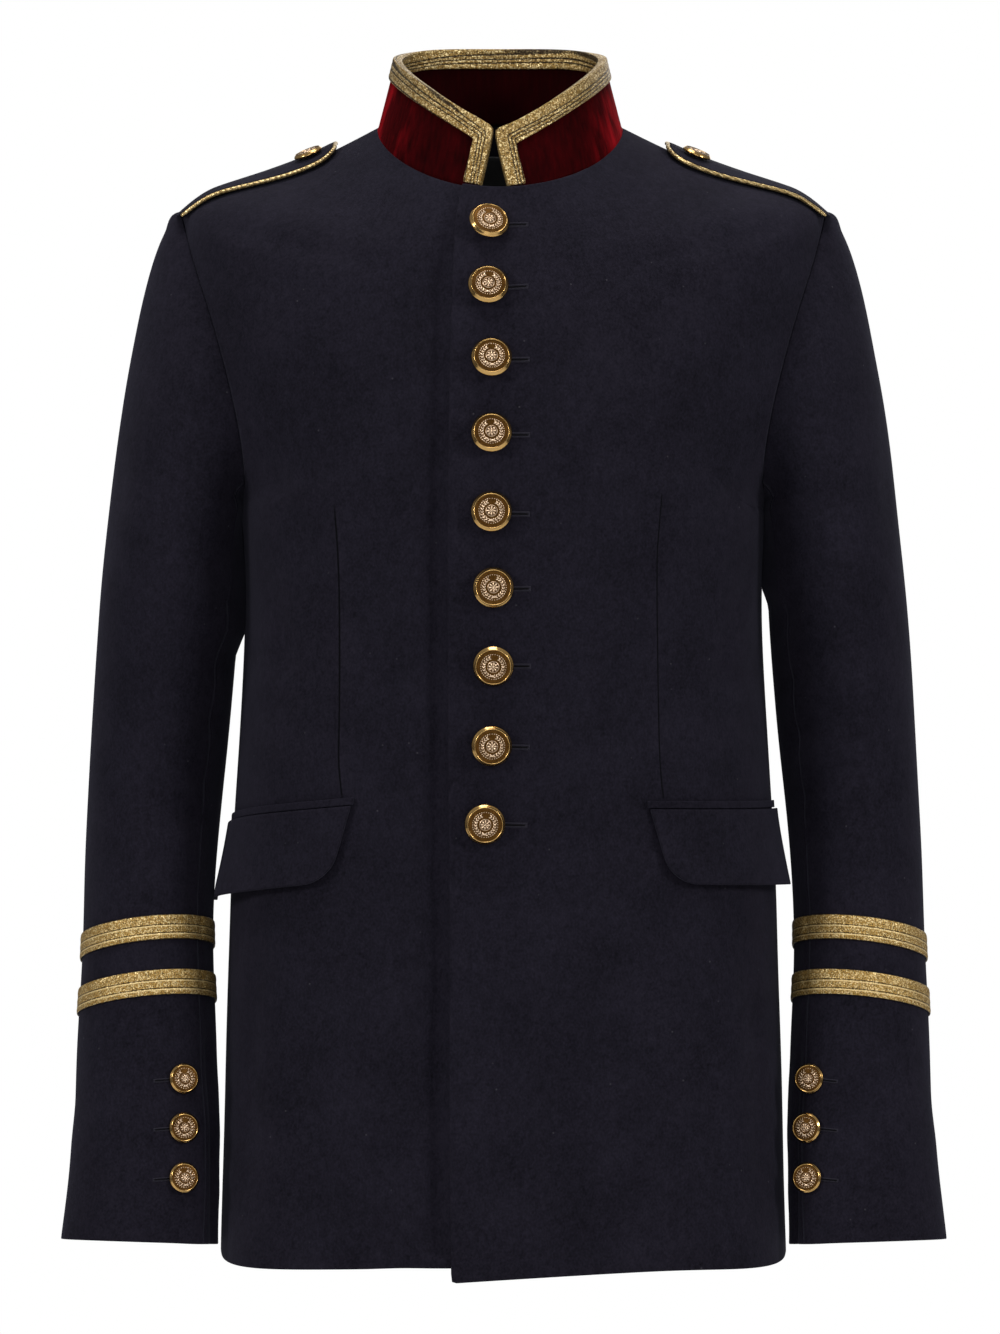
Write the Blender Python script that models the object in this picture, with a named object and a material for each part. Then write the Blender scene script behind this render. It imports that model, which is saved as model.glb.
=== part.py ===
"""A military-style jacket, filled out as if worn: hollow, with its neck, hem and cuffs open.

The frame: +X is the wearer's left, -Y the front and +Z up. The origin is midway between the
shoulders, at their middle height. Every size below is in millimetres, and the meshes are made
in metres. Each piece is worked out for the wearer's left side and mirrored for the right one.
"""

import math

import bmesh
import bpy
import numpy as np
from mathutils import Quaternion, Vector

MM = 0.001

# Cloth and the gaps between the pieces
WALL = 2.2  # wool with its interlining
COLLAR_WALL = 2.6
STRAP_WALL = 2.8
FLAP_WALL = 2.4
SEAM_PULL = 0.17  # how far a panel stops short of a seam's line, on each side of it
SLEEVE_PULL = 0.35  # how far a sleeve stops short of the armhole's line
SEAT = 0.4  # between a panel and what lies on it

# How many sections each stretch of the shell has
SHOULDER_STEPS = 6
SHOULDER_CROWDING = 1.35  # above 1 its sections are closer together near the armhole
ARMHOLE_STEPS = 10
SIDE_STEPS = 10
FRONT_COLUMNS = 13
BACK_COLUMNS = 9
CAP_STEPS = (0.0, 0.08, 0.18, 0.31, 0.47, 0.66, 0.84, 1.0)
ARM_STEPS = 11
SLEEVE_COLUMNS = 2 * ARMHOLE_STEPS

# The front's edges
UNDERLAP = 22.0  # the right front runs on this far past the centre
LAP_LIFT = 3.4  # the left front lies this far proud of the right one
LAP_FLAT = 12.0  # from the centre to where the lift starts to fade
LAP_FADE = 85.0  # and to where it is gone
HEM_DROP = 9.0  # the left front's corner hangs lower than the hem
HEM_DROP_REACH = 145.0
HEM_DROP_LEVEL = 2.55

# Where the sleeve's two seams run, as columns round it from its outer side by way of the back
HIND_SEAM = 4
FORE_SEAM = 12

# Collar, from the neck seam to its rim
COLLAR_STEPS = 3
COLLAR_COLUMNS = (10, 7)  # from an end to the shoulder, and on to the centre back
COLLAR_END_BASE = {"left": 6.5, "right": 14.5}  # each end's distance from the centre front
COLLAR_END_RIM = {"left": -2.7, "right": 6.0}
BRAID_WIDTH = 11.5
BRAID_END_WIDTH = 9.8  # down the collar's two front ends
BRAID_THICK = 0.9
BRAID_RIBS = 4
BRAID_RIB_HEIGHT = 0.45
BRAID_SLOT = 0.75  # between the collar and the braid bound over it
BRAID_FOOT = 0.12  # how many of the collar's steps its ends stop above the neck seam
NECK_SHIFT = -2.2  # the neck and collar sit this far towards the wearer's right
NECK_SHIFT_HEIGHTS = (5.0, -80.0)  # in full above the first, and gone below the second
NECK_SHIFT_REACH = (75.0, 150.0)  # the same, by the distance from the middle

# Cuff bands, by the height of the sleeve's middle where their edges run
CUFF_BANDS = {"upper": (-482.0, -497.5), "lower": (-516.0, -531.5)}
CUFF_RIBS = 3

# Shoulder straps
STRAP_LEVELS = (0.985, 0.225)  # from the armhole towards the neck
STRAP_STEPS = 7  # along its straight part
STRAP_TIP_STEPS = 4
STRAP_ACROSS = 6
STRAP_HALF_WIDTHS = (25.0, 21.5)
STRAP_TIP = 0.16  # the share of the strap's length that the rounded tip takes
STRAP_LIFTS = (1.6, 2.4)
STRAP_BUTTON = 0.80  # along the strap
PIPING_RADIUS = 1.1

# Pockets
POCKET_SEAT = 0.95  # between the front and what is sewn on it here
JET_FROM = 93.0  # from the centre front, along the cloth
JET_LENGTH = 151.5
JET_TOP = -397.0
JET_HEIGHT = 4.6
JET_THICK = 1.6
FLAP_FROM = 94.5
FLAP_WIDTH = 151.0
FLAP_TOP = -402.2
FLAP_HEIGHT = 47.0
FLAP_DEEPER = {"left": 2.5, "right": 3.0}  # how much deeper each flap is at its far end
FLAP_SLANT = 10.5  # how far its front edge leans back on the way down
FLAP_CORNER = 9.0
FLAP_STAND = ((0.0, 0.7, 1.0), (1.8, 6.5, 4.2))  # how far its lower edge stands off, along it
POCKET_FALL = {"left": 4.0, "right": 16.0}  # how much lower each pocket is at its far end
POCKET_BACK = {"left": -3.5, "right": 0.0}  # how much further back each pocket starts
POCKET_DOWN = {"left": 2.2, "right": 0.0}  # how much lower each pocket sits
POCKET_COLUMNS = 12
FLAP_STEPS = 4

# Neck label, inside the back
LABEL_HALF_WIDTH = 33.0
LABEL_LEVELS = (0.30, 0.93)
LABEL_THICK = 0.7
LABEL_COLUMNS = 6
LABEL_STEPS = 3

# Button profiles: radius and height, from the middle of the foot to the middle of the face
BUTTON_STEPS = 16
SMALL_BUTTON_STEPS = 12


def table(names, *rows):
    """A table as one array for each named column."""
    return dict(zip(names.split(), np.array(rows, float).T))


# Levels run from the neck (0) past the shoulder's tip (1) and the underarm (2) to the hem (3).
# A row starts on the centre line, straight across, and comes to the seam along "into".
FRONT = table(
    "level  y      z     reach  into_x  into_y  into_z  seam_reach  lap",
    (0.00, -94.0, -19.5, 46.0, 0.00, 0.93, 0.37, 53.9, 24.0),
    (0.50, -104.0, -46.0, 76.0, 0.00, 0.96, 0.28, 60.0, 29.0),
    (1.00, -113.0, -74.0, 105.0, 0.02, 1.00, 0.08, 62.0, 31.0),
    (1.25, -119.0, -102.0, 102.0, 0.50, 0.86, 0.08, 52.0, 32.0),
    (1.50, -124.0, -138.0, 98.0, 0.60, 0.80, 0.03, 50.0, 33.0),
    (1.75, -127.0, -178.0, 98.0, 0.45, 0.89, 0.00, 54.0, 33.5),
    (2.00, -127.5, -220.0, 115.0, 0.00, 1.00, 0.00, 98.0, 34.0),
    (2.15, -125.5, -289.0, 114.0, 0.00, 1.00, 0.00, 96.0, 34.0),
    (2.40, -121.5, -405.0, 122.0, 0.00, 1.00, 0.00, 100.0, 33.5),
    (2.60, -122.5, -497.0, 134.0, 0.00, 1.00, 0.00, 108.0, 33.0),
    (2.80, -126.5, -590.0, 149.0, 0.00, 1.00, 0.00, 118.0, 33.0),
    (3.00, -130.0, -682.0, 164.0, 0.00, 1.00, 0.07, 127.0, 32.0),
)
BACK = table(
    "level  y     z     reach  into_x  into_y  into_z  seam_reach",
    (0.00, 74.0, 40.0, 42.0, 0.00, -0.96, -0.28, 34.0),
    (0.50, 89.0, 9.0, 72.0, 0.00, -0.96, -0.28, 50.0),
    (1.00, 101.0, -32.0, 102.0, -0.02, -1.00, -0.06, 54.0),
    (1.25, 107.0, -66.0, 98.0, 0.55, -0.83, 0.00, 46.0),
    (1.50, 112.0, -112.0, 96.0, 0.62, -0.78, 0.00, 44.0),
    (1.75, 113.5, -164.0, 96.0, 0.45, -0.89, 0.00, 46.0),
    (2.00, 112.0, -218.0, 112.0, 0.00, -1.00, 0.00, 80.0),
    (2.15, 107.0, -289.0, 110.0, 0.00, -1.00, 0.00, 77.0),
    (2.40, 104.5, -405.0, 117.0, 0.00, -1.00, 0.00, 76.0),
    (2.60, 110.5, -497.0, 126.0, 0.00, -1.00, 0.00, 82.0),
    (2.80, 117.5, -590.0, 135.0, 0.00, -1.00, 0.00, 88.0),
    (3.00, 122.0, -690.0, 142.0, 0.00, -1.00, 0.00, 93.0),
)
SHOULDER_SEAM = table(
    "x  y  z",
    (79.0, 4.0, 30.0),
    (98.0, 4.0, 20.0),
    (134.0, 4.0, 4.0),
    (165.0, 4.5, -5.2),
    (180.0, 4.7, -9.3),
    (194.0, 5.0, -15.2),
    (207.0, 5.0, -22.5),
)
ARMHOLE_FRONT = table(
    "x  y  z",
    (207.0, 5.0, -22.5),
    (206.3, -6.0, -25.5),
    (203.5, -16.0, -34.0),
    (199.0, -29.0, -51.0),
    (191.0, -44.0, -74.0),
    (183.0, -54.0, -98.0),
    (176.0, -60.0, -122.0),
    (170.0, -62.0, -146.0),
    (165.0, -60.0, -170.0),
    (163.0, -50.0, -190.0),
    (165.0, -30.0, -207.0),
    (168.0, -8.0, -216.5),
    (168.5, 8.0, -218.0),
)
ARMHOLE_BACK = table(
    "x  y  z",
    (207.0, 5.0, -22.5),
    (206.5, 17.0, -26.0),
    (204.5, 27.0, -36.0),
    (200.0, 39.0, -54.0),
    (193.0, 50.0, -77.0),
    (186.0, 57.0, -102.0),
    (179.0, 61.0, -128.0),
    (173.0, 61.0, -152.0),
    (168.0, 57.0, -175.0),
    (165.5, 47.0, -194.0),
    (166.5, 31.0, -209.0),
    (168.5, 8.0, -218.0),
)
SIDE_SEAM = table(
    "x  y  z",
    (168.5, 8.0, -218.0),
    (165.5, 9.0, -250.0),
    (166.0, 10.0, -289.0),
    (167.5, 11.0, -325.0),
    (170.0, 12.0, -362.0),
    (173.5, 13.0, -420.0),
    (176.5, 14.0, -497.0),
    (178.5, 15.0, -590.0),
    (180.5, 15.0, -683.0),
)
# How the sleeve leaves the armhole, by the angle round it: 0 its outer side, 90 the back.
SLEEVE_CAP = table(
    "angle  out   back   up    reach  lean   arm_reach",
    (0.0, 0.98, 0.00, 0.20, 19.4, -0.095, 138.0),
    (45.0, 0.95, 0.22, -0.02, 19.0, -0.16, 95.0),
    (90.0, 0.93, 0.30, -0.22, 18.0, -0.20, 60.0),
    (135.0, 0.95, 0.20, -0.30, 10.0, -0.06, 26.0),
    (180.0, 0.96, 0.00, -0.30, 6.0, 0.10, 14.0),
    (225.0, 0.95, -0.22, -0.30, 10.0, -0.06, 26.0),
    (270.0, 0.92, -0.34, -0.22, 19.0, -0.20, 60.0),
    (315.0, 0.95, -0.24, -0.02, 20.0, -0.16, 95.0),
    (360.0, 0.98, 0.00, 0.20, 19.4, -0.095, 138.0),
)
# Sections of the arm, by the height of their middle. Pitch lifts the front of a section, and
# roll lowers its outer side, both in degrees.
ARM = table(
    "z      x      y      half_x  half_y  pitch  roll",
    (-250.0, 212.5, 2.0, 44.5, 66.0, 0.0, 0.0),
    (-310.0, 216.0, 5.0, 45.5, 62.0, 2.0, 1.0),
    (-362.0, 220.3, 6.0, 45.0, 58.5, 5.0, 3.0),
    (-400.0, 223.0, 4.0, 43.8, 56.0, 8.0, 4.5),
    (-451.0, 226.2, -4.0, 42.2, 52.0, 11.0, 6.0),
    (-502.0, 226.8, -14.0, 42.4, 48.5, 13.0, 7.0),
    (-554.0, 226.0, -25.0, 44.8, 46.5, 12.5, 6.0),
    (-605.0, 225.8, -36.0, 46.0, 45.5, 11.0, 3.5),
    (-640.0, 226.6, -43.0, 47.0, 45.0, 9.0, 1.0),
    (-676.0, 228.6, -50.0, 48.6, 45.0, 7.0, -2.0),
)
# Soft troughs (and, where the depth is below zero, swells) in the arm, by height and angle
ARM_FOLDS = table(
    "z      angle  depth  half_length  half_angle  slant",
    (-318.0, 232.0, 3.0, 16.0, 48.0, 0.30),
    (-352.0, 250.0, 3.2, 15.0, 42.0, -0.35),
    (-388.0, 240.0, 3.6, 16.0, 50.0, 0.25),
    (-424.0, 262.0, 2.6, 17.0, 36.0, -0.30),
    (-372.0, 92.0, -3.5, 46.0, 44.0, 0.00),
    (-442.0, 96.0, 2.4, 20.0, 34.0, 0.20),
    (-330.0, 110.0, 2.2, 22.0, 30.0, -0.20),
)
# The same in the fronts, by height and by the distance from the centre along the cloth
FRONT_FOLDS = table(
    "z      across  depth  half_length  half_width  slant",
    (-170.0, 158.0, 2.2, 44.0, 24.0, -0.15),
    (-300.0, 205.0, 2.6, 56.0, 24.0, 0.10),
    (-330.0, 100.0, 1.8, 70.0, 26.0, 0.00),
    (-560.0, 178.0, 2.4, 96.0, 24.0, 0.04),
)
BACK_FOLDS = table(
    "z      across  depth  half_length  half_width  slant",
    (-295.0, 88.0, 2.8, 62.0, 28.0, 0.06),
    (-190.0, 146.0, 2.4, 46.0, 24.0, 0.12),
    (-560.0, 120.0, 2.4, 96.0, 28.0, -0.04),
)
RIM = table(
    "x  y  z",
    (0.0, -86.5, 16.5),
    (21.0, -79.5, 29.0),
    (42.0, -61.5, 44.5),
    (58.6, -31.0, 60.0),
    (67.0, 0.0, 72.0),
    (65.3, 31.0, 79.5),
    (52.8, 56.0, 85.5),
    (30.0, 67.0, 88.0),
    (0.0, 70.0, 88.5),
)
BUTTON_PROFILE = table(
    "radius  height",
    (0.0, 0.0),
    (2.4, 0.0),
    (2.4, 1.6),
    (11.4, 1.9),
    (12.5, 3.1),
    (11.6, 4.5),
    (9.8, 4.1),
    (9.2, 3.5),
    (0.0, 4.4),
)
SMALL_BUTTON_PROFILE = table(
    "radius  height",
    (0.0, 0.0),
    (1.8, 0.0),
    (1.8, 1.2),
    (8.6, 1.4),
    (9.5, 2.3),
    (8.7, 3.3),
    (7.3, 3.0),
    (0.0, 3.9),
)
# Front buttons, from the top down; tilts in degrees, as they hang on their shanks
FRONT_BUTTONS = table(
    "x     z      tilt_up  tilt_side",
    (-8.6, -42.4, 3.0, 3.0),
    (-9.6, -82.0, -4.0, -1.0),
    (-7.6, -126.6, 1.0, 2.0),
    (-7.4, -172.6, 3.0, -2.0),
    (-7.6, -220.6, 0.0, 2.0),
    (-6.3, -266.7, 2.0, 1.0),
    (-6.2, -313.8, -1.0, -2.0),
    (-7.6, -362.9, 2.0, 2.0),
    (-11.6, -410.7, 0.0, -3.0),
)
# Cuff buttons, by the height of the sleeve's middle; angles as in SLEEVE_CAP
CUFF_BUTTONS = (-582.0, -610.5, -639.0)
CUFF_BUTTON_ANGLE = {"left": 222.0, "right": 235.0}

COLOURS = {  # colour, roughness, metallic
    "wool": ((0.0105, 0.0095, 0.0160), 0.92, 0.0),
    "velvet": ((0.0900, 0.0030, 0.0050), 0.75, 0.0),
    "gold_braid": ((0.3900, 0.2500, 0.0850), 0.45, 0.6),
    "brass": ((0.4900, 0.2800, 0.1050), 0.28, 1.0),
    "label": ((0.0080, 0.0080, 0.0080), 0.55, 0.0),
}


def smooth(xs, values, x):
    """Values at x, on a smooth curve through the given ones."""
    if xs[0] > xs[-1]:
        xs, values = xs[::-1], values[::-1]
    slopes = np.gradient(values, xs, axis=0)
    x = np.clip(np.asarray(x, float), xs[0], xs[-1])
    i = np.clip(np.searchsorted(xs, x, side="right") - 1, 0, len(xs) - 2)
    step = xs[i + 1] - xs[i]
    t = (x - xs[i]) / step
    if values.ndim > 1:
        t = t[..., None]
        step = step[..., None]
    return (
        values[i] * (2 * t**3 - 3 * t**2 + 1)
        + slopes[i] * step * (t**3 - 2 * t**2 + t)
        + values[i + 1] * (3 * t**2 - 2 * t**3)
        + slopes[i + 1] * step * (t**3 - t**2)
    )


def read(data, key, at):
    """Every column of a table, read smoothly at one place of its key column."""
    return {name: float(smooth(data[key], data[name], at)) for name in data}


def lengths(points):
    """How far along a line of points each of them is."""
    steps = np.linalg.norm(np.diff(points, axis=0), axis=1)
    return np.concatenate(([0.0], np.cumsum(steps)))


def fine_line(data, count=240):
    """A smooth line of many points through a table's x, y and z."""
    points = np.stack((data["x"], data["y"], data["z"]), axis=1)
    along = lengths(points)
    return smooth(along, points, np.linspace(0.0, along[-1], count))


def at_distance(line, distance):
    """Points on a line that starts at the centre plane; those before its start are mirrored."""
    distance = np.asarray(distance, float)
    along = lengths(line)
    columns = [np.interp(np.abs(distance), along, line[:, i]) for i in range(3)]
    points = np.stack(columns, axis=-1)
    points[..., 0] *= np.where(distance < 0.0, -1.0, 1.0)
    return points


def at_share(line, share):
    """Points at a share of a line's length."""
    return at_distance(line, np.asarray(share, float) * lengths(line)[-1])


def bezier(start, first, second, end, t):
    t = np.asarray(t, float)[..., None]
    s = 1.0 - t
    return start * s**3 + 3 * first * s**2 * t + 3 * second * s * t**2 + end * t**3


def unit(vectors):
    return vectors / np.linalg.norm(vectors, axis=-1, keepdims=True)


def fade(value, full, none):
    """1 up to one end of a stretch, 0 from its other end on, and smooth between."""
    t = np.clip((np.asarray(value, float) - full) / (none - full), 0.0, 1.0)
    return 1.0 - t * t * (3.0 - 2.0 * t)


def ribs(count, share):
    """The height of a ribbed band, from 0 in a groove to 1 on a rib, at a share of its width."""
    return abs(math.sin(math.pi * count * share))


SEAM_LINES = {
    "shoulder": fine_line(SHOULDER_SEAM),
    "front": fine_line(ARMHOLE_FRONT),
    "back": fine_line(ARMHOLE_BACK),
    "side": fine_line(SIDE_SEAM),
}


def shell_levels():
    shoulder = 1.0 - np.linspace(1.0, 0.0, SHOULDER_STEPS + 1) ** SHOULDER_CROWDING
    armhole = np.linspace(1.0, 2.0, ARMHOLE_STEPS + 1)
    side = np.linspace(2.0, 3.0, SIDE_STEPS + 1)
    return np.concatenate((shoulder, armhole[1:], side[1:]))


def seam_point(which, level):
    """The end of a row: on the shoulder seam, the armhole or the side seam."""
    if level <= 1.0:
        return at_share(SEAM_LINES["shoulder"], level)
    if level <= 2.0:
        return at_share(SEAM_LINES[which], level - 1.0)
    return at_share(SEAM_LINES["side"], level - 2.0)


def row_line(which, level):
    """A fine line across half a panel, from the centre line to its seam."""
    row = read(FRONT if which == "front" else BACK, "level", level)
    start = np.array((0.0, row["y"], row["z"]))
    end = seam_point(which, level)
    into = unit(np.array((row["into_x"], row["into_y"], row["into_z"])))
    first = start + row["reach"] * np.array((1.0, 0.0, 0.0))
    second = end - row["seam_reach"] * into
    return bezier(start, first, second, end, np.linspace(0.0, 1.0, 65))


def fold_depth(folds, key, height, across):
    """How deep the troughs of a table are at one height and one place across."""
    total = np.zeros(np.broadcast(height, across).shape)
    for i, middle in enumerate(folds["z"]):
        rise = height - middle
        aside = across - folds[key][i] - folds["slant"][i] * rise
        width = folds["half_angle" if key == "angle" else "half_width"][i]
        along = (rise / folds["half_length"][i]) ** 2
        total += folds["depth"][i] * np.exp(-along - (aside / width) ** 2)
    return total


def grid_normals(grid, closed=False):
    """Outward directions at a grid's points. Rows go down, columns left to back to right."""
    if closed:
        padded = np.concatenate((grid[:, -1:], grid, grid[:, :1]), axis=1)
        across = np.gradient(padded, axis=1)[:, 1:-1]
    else:
        across = np.gradient(grid, axis=1)
    return unit(np.cross(np.gradient(grid, axis=0), across))


def front_start(side, level):
    """Where a front's row starts, as a distance from the centre line."""
    if side == "right":
        return -UNDERLAP
    return -float(smooth(FRONT["level"], FRONT["lap"], level))


def front_grid(side):
    """The outer points of one front, as the wearer's left one lies, from its edge to its seam."""
    rows = []
    for level in shell_levels():
        line = row_line("front", level)
        start = front_start(side, level)
        distance = np.linspace(start, lengths(line)[-1], FRONT_COLUMNS)
        points = at_distance(line, distance)
        if side == "left":
            share = np.clip(1.0 - (distance - start) / HEM_DROP_REACH, 0.0, 1.0)
            points[:, 2] -= HEM_DROP * share * (1.0 - fade(level, HEM_DROP_LEVEL, 3.0))
        rows.append((points, distance))
    grid = np.array([points for points, _ in rows])
    distances = np.array([distance for _, distance in rows])
    lift = -fold_depth(FRONT_FOLDS, "across", grid[..., 2], distances)
    if side == "left":
        lift = lift + LAP_LIFT * fade(distances, LAP_FLAT, LAP_FADE)
    lift[:, -1] = 0.0
    return grid + grid_normals(grid) * lift[..., None]


def back_grid():
    """The outer points of the left back half, from its side seam to the centre back."""
    rows = []
    for level in shell_levels():
        line = row_line("back", level)
        rows.append(np.linspace(lengths(line)[-1], 0.0, BACK_COLUMNS))
    grid = np.array(
        [at_distance(row_line("back", level), row) for level, row in zip(shell_levels(), rows)]
    )
    lift = -fold_depth(BACK_FOLDS, "across", grid[..., 2], np.array(rows))
    lift[:, 0] = 0.0
    normals = grid_normals(grid)
    normals[:, -1, 0] = 0.0
    return grid + unit(normals) * lift[..., None]


def panel_place(grid, level, distance):
    """A panel's point and direction, by the level and the distance along its rows."""
    levels = shell_levels()
    row = np.interp(level, levels, np.arange(len(levels)))
    upper = min(int(row), len(levels) - 2)
    share = row - upper
    normals = grid_normals(grid)
    places = []
    for i in (upper, upper + 1):
        along = lengths(grid[i])
        column = np.interp(distance, along, np.arange(len(along)))
        j = min(int(column), len(along) - 2)
        t = column - j
        places.append([data[i, j] * (1 - t) + data[i, j + 1] * t for data in (grid, normals)])
    point, normal = (a * (1 - share) + b * share for a, b in zip(*places))
    return point, unit(normal)


def armhole_loop():
    """The armhole's points, from the shoulder's tip down the back and up the front."""
    share = np.linspace(0.0, 1.0, ARMHOLE_STEPS + 1)
    back = at_share(SEAM_LINES["back"], share)
    front = at_share(SEAM_LINES["front"], share)
    return np.concatenate((back, front[-2:0:-1]))


def arm_ring(height, angles):
    """A section of the arm, as points at the given angles."""
    section = read(ARM, "z", height)
    turn = np.radians(angles)
    out = section["half_x"] * np.cos(turn)
    back = section["half_y"] * np.sin(turn)
    rise = -back * math.tan(math.radians(section["pitch"]))
    fall = out * math.tan(math.radians(section["roll"]))
    return np.stack((section["x"] + out, section["y"] + back, height + rise - fall), axis=1)


def sleeve_grid():
    """The outer points of the left sleeve, from the armhole to the cuff, all round."""
    angles = np.linspace(0.0, 360.0, SLEEVE_COLUMNS, endpoint=False)
    top = ARM["z"][0]
    start, end = armhole_loop(), arm_ring(top, angles)
    cap = {name: smooth(SLEEVE_CAP["angle"], SLEEVE_CAP[name], angles) for name in SLEEVE_CAP}
    leave = unit(np.stack((cap["out"], cap["back"], cap["up"]), axis=1))
    upward = unit(np.stack((cap["lean"], np.zeros_like(angles), np.ones_like(angles)), axis=1))
    first = start + leave * cap["reach"][:, None]
    second = end + upward * cap["arm_reach"][:, None]
    rows = [
        np.array([bezier(*points, t) for points in zip(start, first, second, end)])
        for t in CAP_STEPS
    ]
    for height in np.linspace(top, ARM["z"][-1], ARM_STEPS + 1)[1:]:
        rows.append(arm_ring(height, angles))
    grid = np.array(rows)
    depth = fold_depth(ARM_FOLDS, "angle", grid[..., 2], angles[None, :])
    return grid - grid_normals(grid, closed=True) * depth[..., None]


def sleeve_place(grid, height, angle):
    """A point of the sleeve's outer face and its direction, by height and angle."""
    heights = np.linspace(ARM["z"][0], ARM["z"][-1], ARM_STEPS + 1)
    row = len(CAP_STEPS) - 1 + np.interp(-height, -heights, np.arange(ARM_STEPS + 1))
    column = np.asarray(angle, float) / 360.0 * SLEEVE_COLUMNS
    normals = grid_normals(grid, closed=True)
    i, j = int(row), np.floor(column).astype(int)
    down, across = row - i, (column - j)[..., None]
    j, k = j % SLEEVE_COLUMNS, (j + 1) % SLEEVE_COLUMNS
    places = []
    for data in (grid, normals):
        upper = data[i, j] * (1 - across) + data[i, k] * across
        below = min(i + 1, len(grid) - 1)
        lower = data[below, j] * (1 - across) + data[below, k] * across
        places.append(upper * (1 - down) + lower * down)
    return places[0], unit(places[1])


def make_material(name):
    colour, roughness, metallic = COLOURS[name]
    material = bpy.data.materials.new(name)
    material.use_nodes = True
    shader = material.node_tree.nodes["Principled BSDF"]
    shader.inputs["Base Color"].default_value = (*colour, 1.0)
    shader.inputs["Roughness"].default_value = roughness
    shader.inputs["Metallic"].default_value = metallic
    return material


def finish_mesh(bm, name, material, sharp=35.0):
    """Turns a bmesh into a mesh with its faces outward and its round stretches smooth."""
    bmesh.ops.recalc_face_normals(bm, faces=bm.faces)
    mesh = bpy.data.meshes.new(name)
    bm.to_mesh(mesh)
    bm.free()
    mesh.materials.append(material)
    mesh.shade_smooth()
    mesh.set_sharp_from_angle(angle=math.radians(sharp))
    return mesh


def add_object(name, data, parent):
    piece = bpy.data.objects.new(name, data)
    bpy.context.scene.collection.objects.link(piece)
    piece.parent = parent
    return piece


def neck_shift(points):
    """How far points lie to the side with the neck, as moves along x."""
    level = fade(points[..., 2], *NECK_SHIFT_HEIGHTS)
    return NECK_SHIFT * level * fade(np.abs(points[..., 0]), *NECK_SHIFT_REACH)


def add_points(bm, grid):
    """A grid's points as vertices, in the same rows."""
    grid = np.array(grid)
    grid[..., 0] += neck_shift(grid)
    return [[bm.verts.new(Vector(point) * MM) for point in row] for row in grid]


def bridge(bm, first, second):
    """Faces between two lines of vertices."""
    for i in range(len(first) - 1):
        bm.faces.new((first[i], second[i], second[i + 1], first[i + 1]))


def wall_mesh(name, outer, inner, material):
    """A cloth wall between two grids of points, closed along all four edges."""
    bm = bmesh.new()
    out, back = add_points(bm, outer), add_points(bm, inner)
    for face in (out, back):
        for upper, lower in zip(face, face[1:]):
            bridge(bm, upper, lower)
    bridge(bm, out[0], back[0])
    bridge(bm, out[-1], back[-1])
    for column in (0, -1):
        bridge(bm, [row[column] for row in out], [row[column] for row in back])
    return finish_mesh(bm, name, material)


def skin_mesh(name, sections, material, closed, sharp=35.0):
    """A solid through closed sections, either a ring of them or one with its ends filled."""
    bm = bmesh.new()
    rows = [row + row[:1] for row in add_points(bm, sections)]
    for first, second in zip(rows, rows[1:]):
        bridge(bm, first, second)
    if closed:
        bridge(bm, rows[-1], rows[0])
    else:
        bm.faces.new(rows[0][:-1])
        bm.faces.new(rows[-1][:-1])
    return finish_mesh(bm, name, material, sharp)


def mirrored(grid):
    """The same piece on the wearer's right."""
    return grid[:, ::-1] * np.array((-1.0, 1.0, 1.0))


def pulled(grid, edge, by):
    """A grid whose points along one edge stop short of it."""
    grid = grid.copy()
    rows = grid.swapaxes(0, 1) if edge in ("first", "last") else grid
    if edge in ("first", "top"):
        rows[0] += unit(rows[1] - rows[0]) * by
    else:
        rows[-1] += unit(rows[-2] - rows[-1]) * by
    return grid


def wall_piece(name, outer, normals, edges, material, parent, flip):
    """A panel: its outer points, the same ones moved in, and its edges pulled off the seams."""
    inner = outer - normals * WALL
    grids = []
    for grid in (outer, inner):
        for edge, by in edges:
            grid = pulled(grid, edge, by)
        grids.append(mirrored(grid) if flip else grid)
    return add_object(name, wall_mesh(name, *grids, material), parent)


def mitre(first, second):
    """The shared direction of two walls that meet at an angle, long enough for their depth."""
    middle = unit(first + second)
    stretch = 1.0 / np.clip(np.sum(middle * first, axis=-1, keepdims=True), 0.6, 1.0)
    return middle * stretch


def shell_normals(front, back, sleeve):
    """Directions for the three grids of one side, the same on both sides of every seam."""
    tip, under = SHOULDER_STEPS, SHOULDER_STEPS + ARMHOLE_STEPS
    of_front, of_back = grid_normals(front), grid_normals(back)
    of_sleeve = grid_normals(sleeve, closed=True)
    of_back[:, -1, 0] = 0.0
    of_back = unit(of_back)
    for rows in (slice(0, tip + 1), slice(under, None)):
        shared = unit(of_front[rows, -1] + of_back[rows, 0])
        of_front[rows, -1] = shared
        of_back[rows, 0] = shared
    loop = np.concatenate((of_back[tip : under + 1, 0], of_front[under - 1 : tip : -1, -1]))
    loop = mitre(loop, of_sleeve[0])
    of_sleeve[0] = loop
    of_back[tip : under + 1, 0] = loop[: ARMHOLE_STEPS + 1]
    of_front[under:tip:-1, -1] = loop[ARMHOLE_STEPS:]
    of_front[tip, -1] = loop[0]
    return of_front, of_back, of_sleeve


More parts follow.
